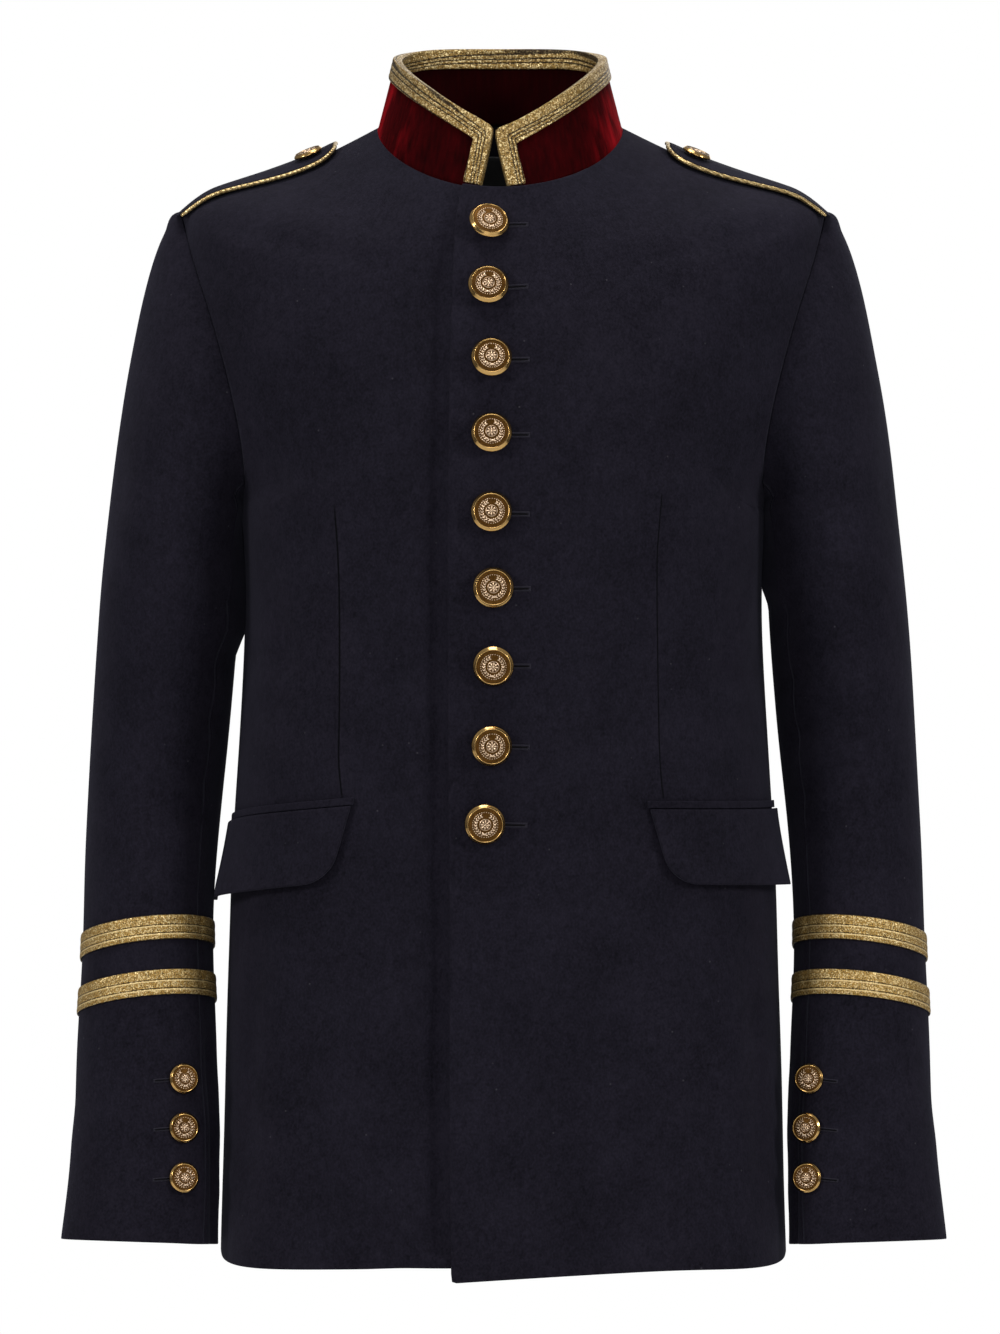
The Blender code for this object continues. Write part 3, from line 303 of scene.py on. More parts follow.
# Twisted gold cord: painted shade in the twist's valleys and in the gaps between threads, with painted
# glints
def makeCordGold():
    material, tree, shader = startMaterial("goldCord", goldLook["body"], Roughness=0.34, Metallic=0.8)
    place = objectPlace(tree)
    threads = useGroup(tree, glitter, Vector=place, Grain=1300.0)
    twist = addNode(
        tree, "ShaderNodeTexWave", {"bands_direction": "DIAGONAL"}, Vector=place, Scale=140.0, Distortion=1.5
    ).outputs["Fac"]
    valley = stretched(tree, twist, 0.45, 0.1, 0.0, 0.4)
    dark = plus(tree, times(tree, threads.outputs["Gap"], 0.3), valley, clamp=True)
    colour = mixColours(tree, dark, (0.480, 0.330, 0.130, 1.0), (*goldLook["deep"], 1.0))
    glint = times(tree, threads.outputs["Glint"], 0.8)
    colour = mixColours(tree, glint, colour, (*goldLook["glint"], 1.0))
    dressShader(tree, shader, colour, 0.8, 0.0004, twist)
    return material


brassLook = {  # the dark and the light shade of each
    "ground": ((0.032, 0.013, 0.003, 1.0), (0.130, 0.060, 0.014, 1.0)),
    "raised": ((0.600, 0.400, 0.240, 1.0), (0.940, 0.740, 0.540, 1.0)),
    "polished": ((0.440, 0.260, 0.090, 1.0), (0.600, 0.380, 0.140, 1.0)),
}


# Stamped brass: "relief" is 0 in the sunk ground and 1 on raised work, "rim" is 1 on the polished rim
def makeBrass():
    material, tree, shader = startMaterial("stampedBrass", (0.62, 0.40, 0.15), Roughness=0.25, Metallic=1.0)
    relief = attributeOf(tree, "relief")
    rim = attributeOf(tree, "rim")
    place = objectPlace(tree)
    grain = useGroup(tree, fibres, Vector=place, Fine=2300.0, Coarse=220.0)
    shades = {name: mixColours(tree, grain.outputs["Shade"], *pair) for name, pair in brassLook.items()}
    face = mixColours(tree, relief, shades["ground"], shades["raised"])
    rough = minus(tree, 0.46, times(tree, relief, 0.14))
    rough = minus(tree, rough, times(tree, rim, 0.27), clamp=True)
    tree.links.new(rough, shader.inputs["Roughness"])
    height = times(tree, grain.outputs["Height"], stretched(tree, rim, 0.0, 1.0, 1.0, 0.05))
    dressShader(tree, shader, mixColours(tree, rim, face, shades["polished"]), 0.6, 0.00018, height)
    return material


def makeSatin():
    satinBlack = (0.006, 0.006, 0.0062)
    material, tree, shader = startMaterial("labelSatin", satinBlack, Roughness=0.42, Sheen_Weight=0.15)
    place = objectPlace(tree)
    nap = useGroup(tree, fibres, Vector=place, Fine=900.0, Coarse=60.0, Streak=(0.2, 1.0, 3.0))
    shade = mixColours(tree, nap.outputs["Shade"], (0.005, 0.005, 0.0052, 1.0), (0.011, 0.011, 0.0112, 1.0))
    dressShader(tree, shader, shade, 0.3, 0.0002, nap.outputs["Height"])
    return material


# Buttonhole silk: its attribute is 1 in the cut between the stitches, and there the silk is painted near
# black as shade
def makeSilk():
    material, tree, shader = startMaterial(
        "buttonholeSilk", (0.010, 0.009, 0.014), Roughness=0.8, Specular_IOR_Level=0.08
    )
    slit = attributeOf(tree, "slit")
    place = objectPlace(tree)
    stitch = addNode(
        tree, "ShaderNodeTexWave", {"bands_direction": "X"}, Vector=place, Scale=430.0, Distortion=0.6
    ).outputs["Fac"]
    thread = mixColours(tree, stitch, (0.0090, 0.0082, 0.0125, 1.0), (0.0230, 0.0210, 0.0300, 1.0))
    colour = mixColours(tree, slit, thread, (0.0015, 0.0014, 0.0020, 1.0))
    dressShader(tree, shader, colour, 0.6, 0.0002, stitch)
    return material


wool = makeWool("wool")
foldShadedWool = makeWool("foldShadedWool", fold=True)
velvet = makeVelvet()
collarGold = makeBraid("collarBraidGold", (0.36, 0.52, 0.68), 0.028, (), 1300.0)
cuffGold = makeBraid("cuffBraidGold", (0.40, 0.74), 0.016, (0.46, 0.80), 1500.0, 1.5)
cordGold = makeCordGold()
brass = makeBrass()
satin = makeSatin()
silk = makeSilk()
print("materials made")


def placed(name, data):
    thing = bpy.data.objects.new(name, data)
    scene.collection.objects.link(thing)
    return thing


def meshOf(name, bm):
    mesh = bpy.data.meshes.new(name)
    bm.to_mesh(mesh)
    bm.free()
    return mesh


smoothBelow = math.radians(52)
sharpAbove = math.radians(50)


def newPiece(name, mesh, material, replaced=()):
    mesh.name = name
    mesh.materials.clear()
    mesh.materials.append(material)
    mesh.shade_smooth()
    mesh.set_sharp_from_angle(angle=smoothBelow)
    piece = placed(name, mesh)
    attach(piece, "root")
    if replaced:
        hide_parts(*replaced)
    return piece


def readPoints(mesh, what="co"):
    flat = np.zeros(len(mesh.vertices) * 3)
    mesh.vertices.foreach_get(what, flat)
    return flat.reshape(-1, 3)


def writePoints(mesh, points):
    mesh.vertices.foreach_set("co", np.ascontiguousarray(points).ravel())
    mesh.update()


def paint(mesh, name, values):
    mesh.attributes.new(name, "FLOAT", "POINT").data.foreach_set("value", values)


# Held between 0 and 1
def unit(values):
    return np.clip(values, 0.0, 1.0)


def treeOfMeshes(meshes):
    bm = bmesh.new()
    for mesh in meshes:
        bm.from_mesh(mesh)
    tree = BVHTree.FromBMesh(bm)
    bm.free()
    return tree


# A CAD node's mesh as whole quads again, to be subdivided
def quadCopy(node):
    bm = bmesh.new()
    bm.from_mesh(nodes[node].data)
    bmesh.ops.remove_doubles(bm, verts=bm.verts, dist=2e-5)
    bmesh.ops.join_triangles(
        bm, faces=bm.faces, angle_face_threshold=math.radians(60),
        angle_shape_threshold=math.radians(150), topology_influence=2.0,
    )
    return bm


# A sharp edge keeps its line by the strength that strengthOf gives it
def creaseEdges(bm, strengthOf):
    layer = bm.edges.layers.float.new("crease_edge")
    for edge in bm.edges:
        if len(edge.link_faces) == 2 and edge.calc_face_angle(0.0) > sharpAbove:
            edge[layer] = strengthOf(edge)


def subdivided(bm, levels):
    mesh = meshOf("work", bm)
    worker = placed("work", mesh)
    smoother = worker.modifiers.new("smoother", "SUBSURF")
    smoother.levels = levels
    smoother.render_levels = levels
    deps = bpy.context.evaluated_depsgraph_get()
    result = bpy.data.meshes.new_from_object(worker.evaluated_get(deps))
    bpy.data.objects.remove(worker, do_unlink=True)
    bpy.data.meshes.remove(mesh)
    return result


# The cloth's own unevenness is a move of every point, the same on all that lies there.
# The sleeve's run:
arm = np.array([  # height, middle x and y, half widths, pitch and roll in degrees
    (-250.0, 212.5, 2.0, 44.5, 66.0, 0.0, 0.0),
    (-310.0, 216.0, 5.0, 45.5, 62.0, 2.0, 1.0),
    (-362.0, 220.3, 6.0, 45.0, 58.5, 5.0, 3.0),
    (-400.0, 223.0, 4.0, 43.8, 56.0, 8.0, 4.5),
    (-451.0, 226.2, -4.0, 42.2, 52.0, 11.0, 6.0),
    (-502.0, 226.8, -14.0, 42.4, 48.5, 13.0, 7.0),
    (-554.0, 226.0, -25.0, 44.8, 46.5, 12.5, 6.0),
    (-605.0, 225.8, -36.0, 46.0, 45.5, 11.0, 3.5),
    (-640.0, 226.6, -43.0, 47.0, 45.0, 9.0, 1.0),
    (-676.0, 228.6, -50.0, 48.6, 45.0, 7.0, -2.0),
])


def armAt(height, column):
    return np.interp(-np.asarray(height), -arm[:, 0], arm[:, column])


def armPoint(height, angle):
    turn = math.radians(angle)
    return (
        armAt(height, 1) + armAt(height, 3) * math.cos(turn),
        armAt(height, 2) + armAt(height, 4) * math.sin(turn),
        height,
    )


# Creases: depth and half width in mm, then the line. On sleeves it is height and angle (90 the back,
# 180 inside, 270 the front); on the body it is x, height and which face.
sleeveCreases = [
    (1.9, 9.0, (-262, 238), (-286, 214), (-298, 188)),
    (1.7, 9.0, (-300, 250), (-322, 222), (-330, 196)),
    (2.3, 10.0, (-334, 262), (-352, 232), (-366, 200)),
    (2.1, 9.0, (-372, 268), (-384, 240), (-404, 208)),
    (2.4, 11.0, (-398, 282), (-414, 250), (-424, 216)),
    (1.6, 10.0, (-440, 268), (-452, 244), (-472, 214)),
    (1.4, 12.0, (-556, 300), (-592, 286), (-640, 282)),
    (-1.8, 16.0, (-360, 64), (-398, 86), (-436, 104)),
    (1.8, 12.0, (-412, 60), (-430, 92), (-440, 128)),
    (1.6, 11.0, (-456, 66), (-462, 100), (-470, 132)),
    (1.5, 13.0, (-290, 120), (-330, 132), (-372, 152)),
    (1.3, 15.0, (-110, 342), (-170, 330), (-240, 318)),
    (1.3, 15.0, (-120, 36), (-180, 42), (-250, 52)),
    (1.1, 3.5, (-462, 215), (-505, 215), (-552, 214)),  # where the cuff's bands cross the fore seam
    (2.6, 5.0, (-548, 208), (-600, 205), (-660, 204), (-720, 204)),  # beside the vent
]
sleeveSwells = [  # height, half height, angle, half angle, how far out
    (-650.0, 92.0, 184.0, 22.0, 5.4),
    (-650.0, 90.0, 221.0, 13.0, 3.0),
    (-645.0, 60.0, 5.0, 40.0, 1.6),
]
edgeTrough = {"depth": 5.4, "width": 11.0, "line": [
    (-40, -48), (-42, -66), (-44, -100), (-44, -220), (-45, -330), (-44, -480), (-43, -600), (-44, -674),
]}
bodyCreases = [
    (1.7, 11.0, "front", (148, -196), (130, -232), (118, -262)),
    (1.6, 12.0, "front", (157, -248), (140, -290), (134, -332)),
    (1.9, 10.0, "front", (161, -312), (146, -322), (124, -318)),
    (1.5, 11.0, "front", (162, -352), (144, -350), (128, -360)),
    (1.2, 16.0, "front", (118, -470), (124, -560), (130, -650)),
    (-1.2, 22.0, "front", (80, -480), (84, -560), (88, -660)),
    (1.6, 16.0, "front", (150, -470), (158, -560), (160, -660)),
    (1.6, 13.0, "back", (142, -180), (124, -226), (112, -270)),
    (2.0, 12.0, "back", (158, -318), (126, -326), (90, -318)),
    (1.6, 11.0, "back", (150, -352), (116, -358), (82, -352)),
    (1.5, 18.0, "back", (104, -450), (112, -540), (118, -650)),
    (1.4, 18.0, "back", (44, -430), (50, -530), (56, -650)),
    (1.3, 20.0, "back", (40, -60), (58, -120), (66, -180)),
]
# Beside the front edge, low down
hemTrough = {"depth": 3.2, "width": 21.0, "line": [(-50, -520), (-54, -580), (-60, -640), (-66, -676)]}
# The right side's creases are shallower and lie a little higher
creaseSides = (  # sign of x, share of the depth, how much higher on the sleeve and on the body
    (1.0, 1.0, 0.0, 0.0),
    (-1.0, 0.86, 10.0, 8.0),
)


def creaseLines():
    trees = {
        face: treeOfMeshes([nodes[f"{face}_{side}"].data for side in ("left", "right")])
        for face in ("front", "back")
    }

    def onBody(face, marks):
        way = 1.0 if face == "front" else -1.0
        starts = [Vector((x * mm, -way, z * mm)) for x, z in marks]
        return np.array([tuple(trees[face].ray_cast(start, Vector((0.0, way, 0.0)))[0]) for start in starts])

    lines = []
    for sign, share, sleeveRise, bodyRise in creaseSides:
        for depth, width, *marks in sleeveCreases:
            points = [armPoint(height + sleeveRise, angle) for height, angle in marks]
            lines.append(("sleeve", depth * share, width, np.array(points) * (sign, 1.0, 1.0) * mm))
        for depth, width, face, *marks in bodyCreases:
            places = [(sign * x, z + bodyRise) for x, z in marks]
            lines.append(("body", depth * share, width, onBody(face, places)))
    for trough in (edgeTrough, hemTrough):
        places = [(x + 3.0, z) for x, z in trough["line"]]
        lines.append(("rightFront", trough["depth"], trough["width"], onBody("front", places)))
    return lines


lines = creaseLines()


def smoothLine(points, count=14):
    share = np.linspace(0.0, 1.0, len(points))
    fine = np.linspace(0.0, 1.0, count)
    bent = np.stack([np.interp(fine, share, points[:, i]) for i in range(3)], axis=1)
    bent[1:-1] = (bent[:-2] + 2.0 * bent[1:-1] + bent[2:]) / 4.0
    return bent


def nearestOn(line, points):
    best = np.full(len(points), 1e9)
    share = np.zeros(len(points))
    for i in range(len(line) - 1):
        step = line[i + 1] - line[i]
        t = unit((points - line[i]) @ step / max(step @ step, 1e-12))
        distance = np.linalg.norm(points - line[i] - t[:, None] * step, axis=1)
        closer = distance < best
        best[closer] = distance[closer]
        share[closer] = (i + t[closer]) / (len(line) - 1)
    return best, share


rippleDepth = 0.34 * mm


def ripple(points):
    x, y, z = points[:, 0], points[:, 1], points[:, 2]
    crossed = np.sin(31 * x + 17 * z + 1.3) * np.sin(23 * z - 19 * y + 0.4)
    return (crossed + 0.7 * np.sin(47 * z + 29 * y - 13 * x)) * rippleDepth


def outwardOf(part, points):
    if part == "sleeve":
        side = np.sign(points[:, 0])
        middleX = side * armAt(points[:, 2] / mm, 1) * mm
        middleY = armAt(points[:, 2] / mm, 2) * mm
        out = np.stack((points[:, 0] - middleX, points[:, 1] - middleY, np.zeros(len(points))), axis=1)
    else:
        out = np.stack((points[:, 0] / 0.17**2, points[:, 1] / 0.115**2, np.zeros(len(points))), axis=1)
    return out / np.maximum(np.linalg.norm(out, axis=1, keepdims=True), 1e-9)


def swelled(points):
    x, y, z = np.abs(points[:, 0]) / mm, points[:, 1] / mm, points[:, 2] / mm
    turn = np.degrees(np.arctan2((y - armAt(z, 2)) / armAt(z, 4), (x - armAt(z, 1)) / armAt(z, 3))) % 360.0
    push = np.zeros(len(points))
    for height, tall, angle, wide, out in sleeveSwells:
        aside = (turn - angle + 180.0) % 360.0 - 180.0
        beyond = np.maximum(np.abs(z - height) - 0.45 * tall, 0.0)
        up = unit(1.0 - beyond / (0.55 * tall))
        push += out * mm * np.exp(-((aside / wide) ** 2)) * up**2 * (3.0 - 2.0 * up)
    return push


armpit = {"clear": -1.2, "band": 2.5, "fade": 14.0, "lowest": {"left": -254.0, "right": -284.0}}  # in mm


# Below the armhole the sleeve's inner side lies against the body, down to "lowest"
def closeArmpit(side, moved):
    sign = 1.0 if side == "left" else -1.0
    body = np.concatenate([moved[f"front_{side}"], moved[f"back_{side}"]]) / mm
    sleeveNames = (f"top_sleeve_{side}", f"under_sleeve_{side}")
    sleeve = np.concatenate([moved[name] for name in sleeveNames]) / mm
    heights = np.arange(-312.0, -196.0, 4.0)
    shift = np.zeros(len(heights))
    band = armpit["band"]
    for i, height in enumerate(heights):
        outer = sign * body[np.abs(body[:, 2] - height) < band, 0]
        inner = sign * sleeve[np.abs(sleeve[:, 2] - height) < band, 0]
        if len(outer) and len(inner):
            shift[i] = max(inner.min() - outer.max() - armpit["clear"], 0.0)
    shift *= unit((heights - armpit["lowest"][side]) / armpit["fade"] + 1.0)
    wide = np.pad(shift, 2, "edge")
    shift = np.max([wide[i : i + len(shift)] for i in range(5)], axis=0)
    for name in sleeveNames:
        points = moved[name]
        inner = (armAt(points[:, 2] / mm, 1) - sign * points[:, 0] / mm) / armAt(points[:, 2] / mm, 3)
        weight = unit((inner - 0.3) / 0.6)
        points[:, 0] -= sign * np.interp(points[:, 2] / mm, heights, shift) * weight * mm


# How far each point moves outwards, and which way. Nothing moves where sleeve and body are sewn.
def creased(part, points, calm=1.0, alone=None):
    push = ripple(points) * (0.0 if alone else 1.0)
    if part == "sleeve":
        push += swelled(points)
    for which, depth, width, line in lines:
        if which != (alone or part):
            continue
        near = np.abs(points[:, 2] - line[:, 2].mean()) < np.ptp(line[:, 2]) / 2 + 4 * width * mm
        if not near.any():
            continue
        distance, share = nearestOn(smoothLine(line), points[near])
        across = distance / (width * mm)
        wave = (1.0 - 0.9 * across**2) * np.exp(-(across**2))
        if which == "rightFront":
            fadeOut = unit(share * 6.0)
        else:
            fadeOut = unit(np.sin(np.pi * unit(share)) * 1.6)
        push[near] -= depth * mm * wave * fadeOut
    top = 1.0 if alone else unit((-0.075 - points[:, 2]) / 0.06)
    middle = 1.0
    if part == "body" and not alone:
        middle = unit((np.abs(points[:, 0]) - 0.03) / 0.05)
        middle = np.where(points[:, 1] > 0.0, 1.0, middle)
    push = push * top * middle * calm
    return outwardOf(part, points) * push[:, None]


panelNames = [
    "front_left", "front_right", "back_left", "back_right",
    "top_sleeve_left", "top_sleeve_right", "under_sleeve_left", "under_sleeve_right",
]
seamLook = {
    "levels": 3,
    "reach": 2.6,    # mm either side of a seam where the cloth dips into it
    "dip": 0.16,
    "freeEdge": 0.55,
    "meet": 0.53,    # how far each side of a seam goes to meet the other
    "collarMeet": 0.8,
    "close": 0.9,    # mm: nearer than this, a point is part of a seam
    "armholeDip": 0.45,
}


def treeOf(points):
    tree = KDTree(len(points))
    for i, point in enumerate(points):
        tree.insert(point, i)
    tree.balance()
    return tree


def surfaceOf(shapes):
    points, faces = [], []
    for places, mesh in shapes:
        start = len(points)
        points.extend(Vector(place) for place in places)
        faces.extend([start + i for i in polygon.vertices] for polygon in mesh.polygons)
    return BVHTree.FromPolygons(points, faces)


def partOf(name):
    return "sleeve" if "sleeve" in name else "body"


def touching(name, other):
    if name == other or {name, other} == {"front_left", "front_right"}:
        return False
    return "collar" not in (name, other) or "sleeve" not in name + other


def makePanels():
    sewnNames = [*panelNames, "collar"]
    rough = {name: readPoints(nodes[name].data) for name in sewnNames}
    meshes, smooth, finished = {}, {}, {}
    for name in sewnNames:
        others = treeOf(np.concatenate([rough[other] for other in sewnNames if touching(name, other)]))
        bm = quadCopy(name)
        near = {v: others.find(v.co)[2] < 1.1 * mm for v in bm.verts}
        creaseEdges(bm, lambda edge: 1.0 if all(near[v] for v in edge.verts) else seamLook["freeEdge"])
        meshes[name] = subdivided(bm, seamLook["levels"])
        smooth[name] = readPoints(meshes[name])
        print("panel", name, len(smooth[name]))
    for name in sewnNames:
        points = smooth[name]
        others = [other for other in sewnNames if touching(name, other)]
        seam = surfaceOf([(smooth[other], meshes[other]) for other in others])
        hits = [seam.find_nearest(Vector(point)) for point in points]
        away = np.array([(*hit[0], hit[3]) for hit in hits])
        across = [other for other in others if partOf(other) != partOf(name) and other != "collar"]
        calm, sewnDip = 1.0, 0.0
        if across:
            sewn = treeOf(np.concatenate([smooth[other] for other in across]))
            gap = np.array([hit[2] for hit in map(sewn.find, points)]) / mm
            calm = unit(gap / 14.0 - 0.1)
            sewnDip = seamLook["armholeDip"] * unit(1.0 - gap / seamLook["reach"]) ** 2
        moved = points + creased(partOf(name), points, calm)
        if name == "front_right":
            moved += creased("body", points, alone="rightFront")
        distance = away[:, 3] / mm
        seamDip = seamLook["dip"] if partOf(name) == "body" else 0.0
        dip = seamDip * unit(1.0 - distance / seamLook["reach"]) ** 2 + sewnDip
        moved -= outwardOf(partOf(name), points) * (dip * mm)[:, None]
        close = distance < seamLook["close"]
        meet = seamLook["collarMeet" if name == "collar" else "meet"]
        moved[close] += (away[close, :3] - points[close]) * meet
        finished[name] = moved
    for side in ("left", "right"):
        closeArmpit(side, finished)
    for name in sewnNames:
        writePoints(meshes[name], finished[name])
    return meshes


def camel(node):
    first, *rest = node.split("_")
    return first + "".join(word.capitalize() for word in rest)


panelMeshes = makePanels()
pieces = {name: newPiece(camel(name), panelMeshes[name], wool, [name]) for name in panelNames}
for name in panelNames:
    kind, *_, side = name.split("_")
print("wool panels made")


# In mm: the outer end bends down on the sleeve's head, and the piping is a thicker cord than the CAD's
strapEnd = {
    "drop": 4.4, "frontDrop": 1.6, "reach": 4.6, "cord": 0.35,
    "bend": (184.0, 21.0), "ahead": (8.0, 26.0),    # from where, and over how far
}
# In mm: the flaps stand off at the side seam, down to where they meet the sleeve
flapBulge = {"left": 1.5, "right": 3.0, "below": (-410.0, 44.0), "beyond": (150.0, 26.0)}
jetEnd = {"beyond": (152.0, 14.0)}    # in mm: where it turns in by 1 mm at the side seam


# 0 at the start and 1 at the end of the way "over", not held between them
def ramp(values, start, over):
    return (values - start) / over


def bulged(points):
    below, beyond = flapBulge["below"], flapBulge["beyond"]
    down = unit((below[0] - points[:, 2] / mm) / below[1])
    aside = unit(ramp(np.abs(points[:, 0]) / mm, *beyond))
    most = np.where(points[:, 0] < 0.0, flapBulge["right"], flapBulge["left"])
    move = np.zeros_like(points)
    move[:, 0] = np.sign(points[:, 0]) * most * down * aside**2 * mm
    return move


def sewnOn(node, material, slotName, levels, crease, part=None, cut=None, held="laid", on=()):
    bm = quadCopy(node)
    creaseEdges(bm, lambda edge: crease)
    mesh = subdivided(bm, levels)
    points = readPoints(mesh)
    moved = points.copy()
    if part:
        moved += creased(part, points)
    if "flap" in node:
        moved += bulged(points)
    if "jet" in node:
        turned = unit(ramp(np.abs(points[:, 0]) / mm, *jetEnd["beyond"]))
        moved[:, 0] -= np.sign(points[:, 0]) * turned * mm
    if "piping" in node:
        moved += readPoints(mesh, "normal") * strapEnd["cord"] * mm
    if "epaulette" in node:
        out = np.clip(ramp(np.abs(moved[:, 0]) / mm, *strapEnd["bend"]), 0.0, 1.2) ** 2
        start, over = strapEnd["ahead"]
        ahead = unit((start - moved[:, 1] / mm) / over)
        moved[:, 0] += np.sign(moved[:, 0]) * strapEnd["reach"] * out * ahead * mm
        moved[:, 2] -= (strapEnd["drop"] + strapEnd["frontDrop"] * ahead) * out * mm
    writePoints(mesh, moved)
    piece = newPiece(camel(node), mesh, material, [node])
    pieces[node] = piece
    return piece


sewnLook = {
    "pocket_flap": {"crease": 0.62, "part": "body", "cut": (0.155, 0.052, 0.0074)},
    "pocket_jet": {"crease": 0.60, "part": "body", "cut": (0.156, 0.010, 0.00105)},
    "epaulette": {"crease": 0.62, "part": None, "cut": (0.118, 0.052, 0.0052)},
}
for side in ("left", "right"):
    for kind, look in sewnLook.items():
        sewnOn(f"{kind}_{side}", wool, "wool", 3, **look, on=[pieces[f"front_{side}"]])
    sewnOn(f"epaulette_piping_{side}", cordGold, "gold_braid", 2, 0.3)
print("flaps, jets and straps made")


collarEdge = np.array([  # the braid's outer line, from the left end's foot round the rim to the right one's
    (5.3, -94.0, -19.5), (-2.5, -86.5, 16.5), (21.0, -79.5, 29.0), (42.0, -61.5, 44.5), (57.5, -31.0, 60.0),
    (65.5, 0.0, 72.0), (64.0, 31.0, 79.5), (52.0, 56.0, 85.5), (30.0, 67.0, 88.0), (0.0, 70.0, 88.5),
    (-30.0, 67.0, 88.0), (-52.0, 56.0, 85.5), (-64.0, 31.0, 79.5), (-65.5, 0.0, 72.0), (-57.5, -31.0, 60.0),
    (-42.0, -61.5, 44.5), (-21.0, -79.5, 29.0), (-6.1, -86.2, 18.6), (-12.9, -94.0, -19.5),
])


def layWeave(mesh, along, across):
    uvMap = mesh.uv_layers.new(name="weave")
    corners = np.zeros(len(mesh.loops), dtype=np.int32)
    mesh.loops.foreach_get("vertex_index", corners)
    uvMap.data.foreach_set("uv", np.stack((along[corners], across[corners]), axis=1).ravel())


def roundedLine(points, rounds=2):
    for _ in range(rounds):
        quarter = points[:-1] * 0.75 + points[1:] * 0.25
        threeQuarters = points[:-1] * 0.25 + points[1:] * 0.75
        inside = np.stack((quarter, threeQuarters), axis=1).reshape(-1, 3)
        points = np.concatenate((points[:1], inside, points[-1:]))
    return points


# Painted light on the velvet: inside the collar a low value for painted shade; outside, a value that grows
# towards the sides for a painted sheen
sheenShadeLook = {"least": 0.38, "gain": 0.62, "beyond": (48.0, 22.0), "inside": 0.12}
collar = newPiece("collar", panelMeshes["collar"], velvet, ["collar"])
points, normals = readPoints(collar.data), readPoints(collar.data, "normal")
outside = (normals[:, :2] * points[:, :2]).sum(axis=1) > 0.0
gain = unit(ramp(np.abs(points[:, 0]) / mm, *sheenShadeLook["beyond"]))
sheenLit = sheenShadeLook["least"] + sheenShadeLook["gain"] * gain
paint(collar.data, "pile", np.where(outside, sheenLit, sheenShadeLook["inside"]))
collarBraid = sewnOn(
    "collar_braid", collarGold, "gold_braid", 2, 0.35, None, (0.600, 0.030, 0.0167), "folded", [collar]
)
rimLine = np.concatenate((collarEdge[:1], roundedLine(collarEdge[1:-1]), collarEdge[-1:])) * mm
braidPoints = readPoints(collarBraid.data)
reach, share = nearestOn(rimLine, braidPoints)
steps = np.concatenate(([0.0], np.cumsum(np.linalg.norm(np.diff(rimLine, axis=0), axis=1))))
alongRim = np.interp(share * (len(rimLine) - 1), np.arange(len(rimLine)), steps)
braidWidth = 12.6 * mm
layWeave(collarBraid.data, alongRim, reach / braidWidth)
sewnOn("neck_label", satin, "label", 2, 0.8, None, (0.068, 0.050, 0.0033), "laid", [pieces["back_left"]])
print("collar, braid and label made")


# Gold bands round the cuffs, by the height of the sleeve's middle where their edges run
cuffBands = {"upper": (-482.0, -497.5), "lower": (-516.0, -531.5)}
cuffLook = {"cut": (0.300, 0.0185, 0.0052), "middle": 0.2268, "radius": 0.0455}


def heightOfMiddle(points):
    x, y, z = np.abs(points[:, 0]) / mm, points[:, 1] / mm, points[:, 2] / mm
    height = z.copy()
    for _ in range(4):
        pitch = np.tan(np.radians(armAt(height, 5)))
        roll = np.tan(np.radians(armAt(height, 6)))
        height = z + (y - armAt(height, 2)) * pitch + (x - armAt(height, 1)) * roll
    return height


for side in ("left", "right"):
    for level, (high, low) in cuffBands.items():
        sleeve = pieces[f"top_sleeve_{side}"]
        band = sewnOn(
            f"cuff_braid_{level}_{side}", cuffGold, "gold_braid", 3, 0.35, "sleeve",
            cuffLook["cut"], "stretched", [sleeve],
        )
        points = readPoints(band.data)
        ahead = points[:, 1] - armAt(points[:, 2] / mm, 2) * mm
        turn = np.arctan2(ahead, np.abs(points[:, 0]) - cuffLook["middle"])
        share = (high - heightOfMiddle(points)) / (high - low)
        layWeave(band.data, turn * cuffLook["radius"], unit(share))
print("cuff bands made")


def clothTree(*names):
    return treeOfMeshes([pieces[name].data for name in names])


# In mm. "line" is the turned profile, by radius and height; a ring of beads has a radius and a count.
bigButton = {
    "steps": 132, "rim": (10.22, 12.6), "ground": 10.1, "groundHeight": 4.40, "dome": 0.45, "rings": 40,
    "line": [
        (0.0, 0.0), (2.4, 0.0), (2.4, 0.9), (11.6, 1.2), (12.25, 1.7), (12.5, 2.3), (12.42, 2.8),
        (12.15, 3.2), (11.55, 3.85), (11.05, 4.40), (10.85, 4.82), (10.68, 4.90), (10.5, 4.86),
        (10.38, 4.68), (10.25, 4.44),
    ],
    "wreath": 5.9, "leaves": 9, "leaf": (0.95, 0.34), "relief": 0.50, "rosette": 2.9, "beads": (7.7, 34),
}
smallButton = {
    "steps": 104, "rim": (7.92, 9.6), "ground": 7.8, "groundHeight": 3.12, "dome": 0.38, "rings": 34,
    "line": [
        (0.0, 0.0), (1.8, 0.0), (1.8, 0.7), (8.8, 0.9), (9.3, 1.3), (9.5, 1.75), (9.42, 2.15), (9.1, 2.55),
        (8.65, 3.0), (8.45, 3.42), (8.28, 3.52), (8.1, 3.44), (7.95, 3.2),
    ],
    "wreath": 4.75, "leaves": 7, "leaf": (0.86, 0.30), "relief": 0.44, "rosette": 2.35, "beads": (6.3, 26),
}


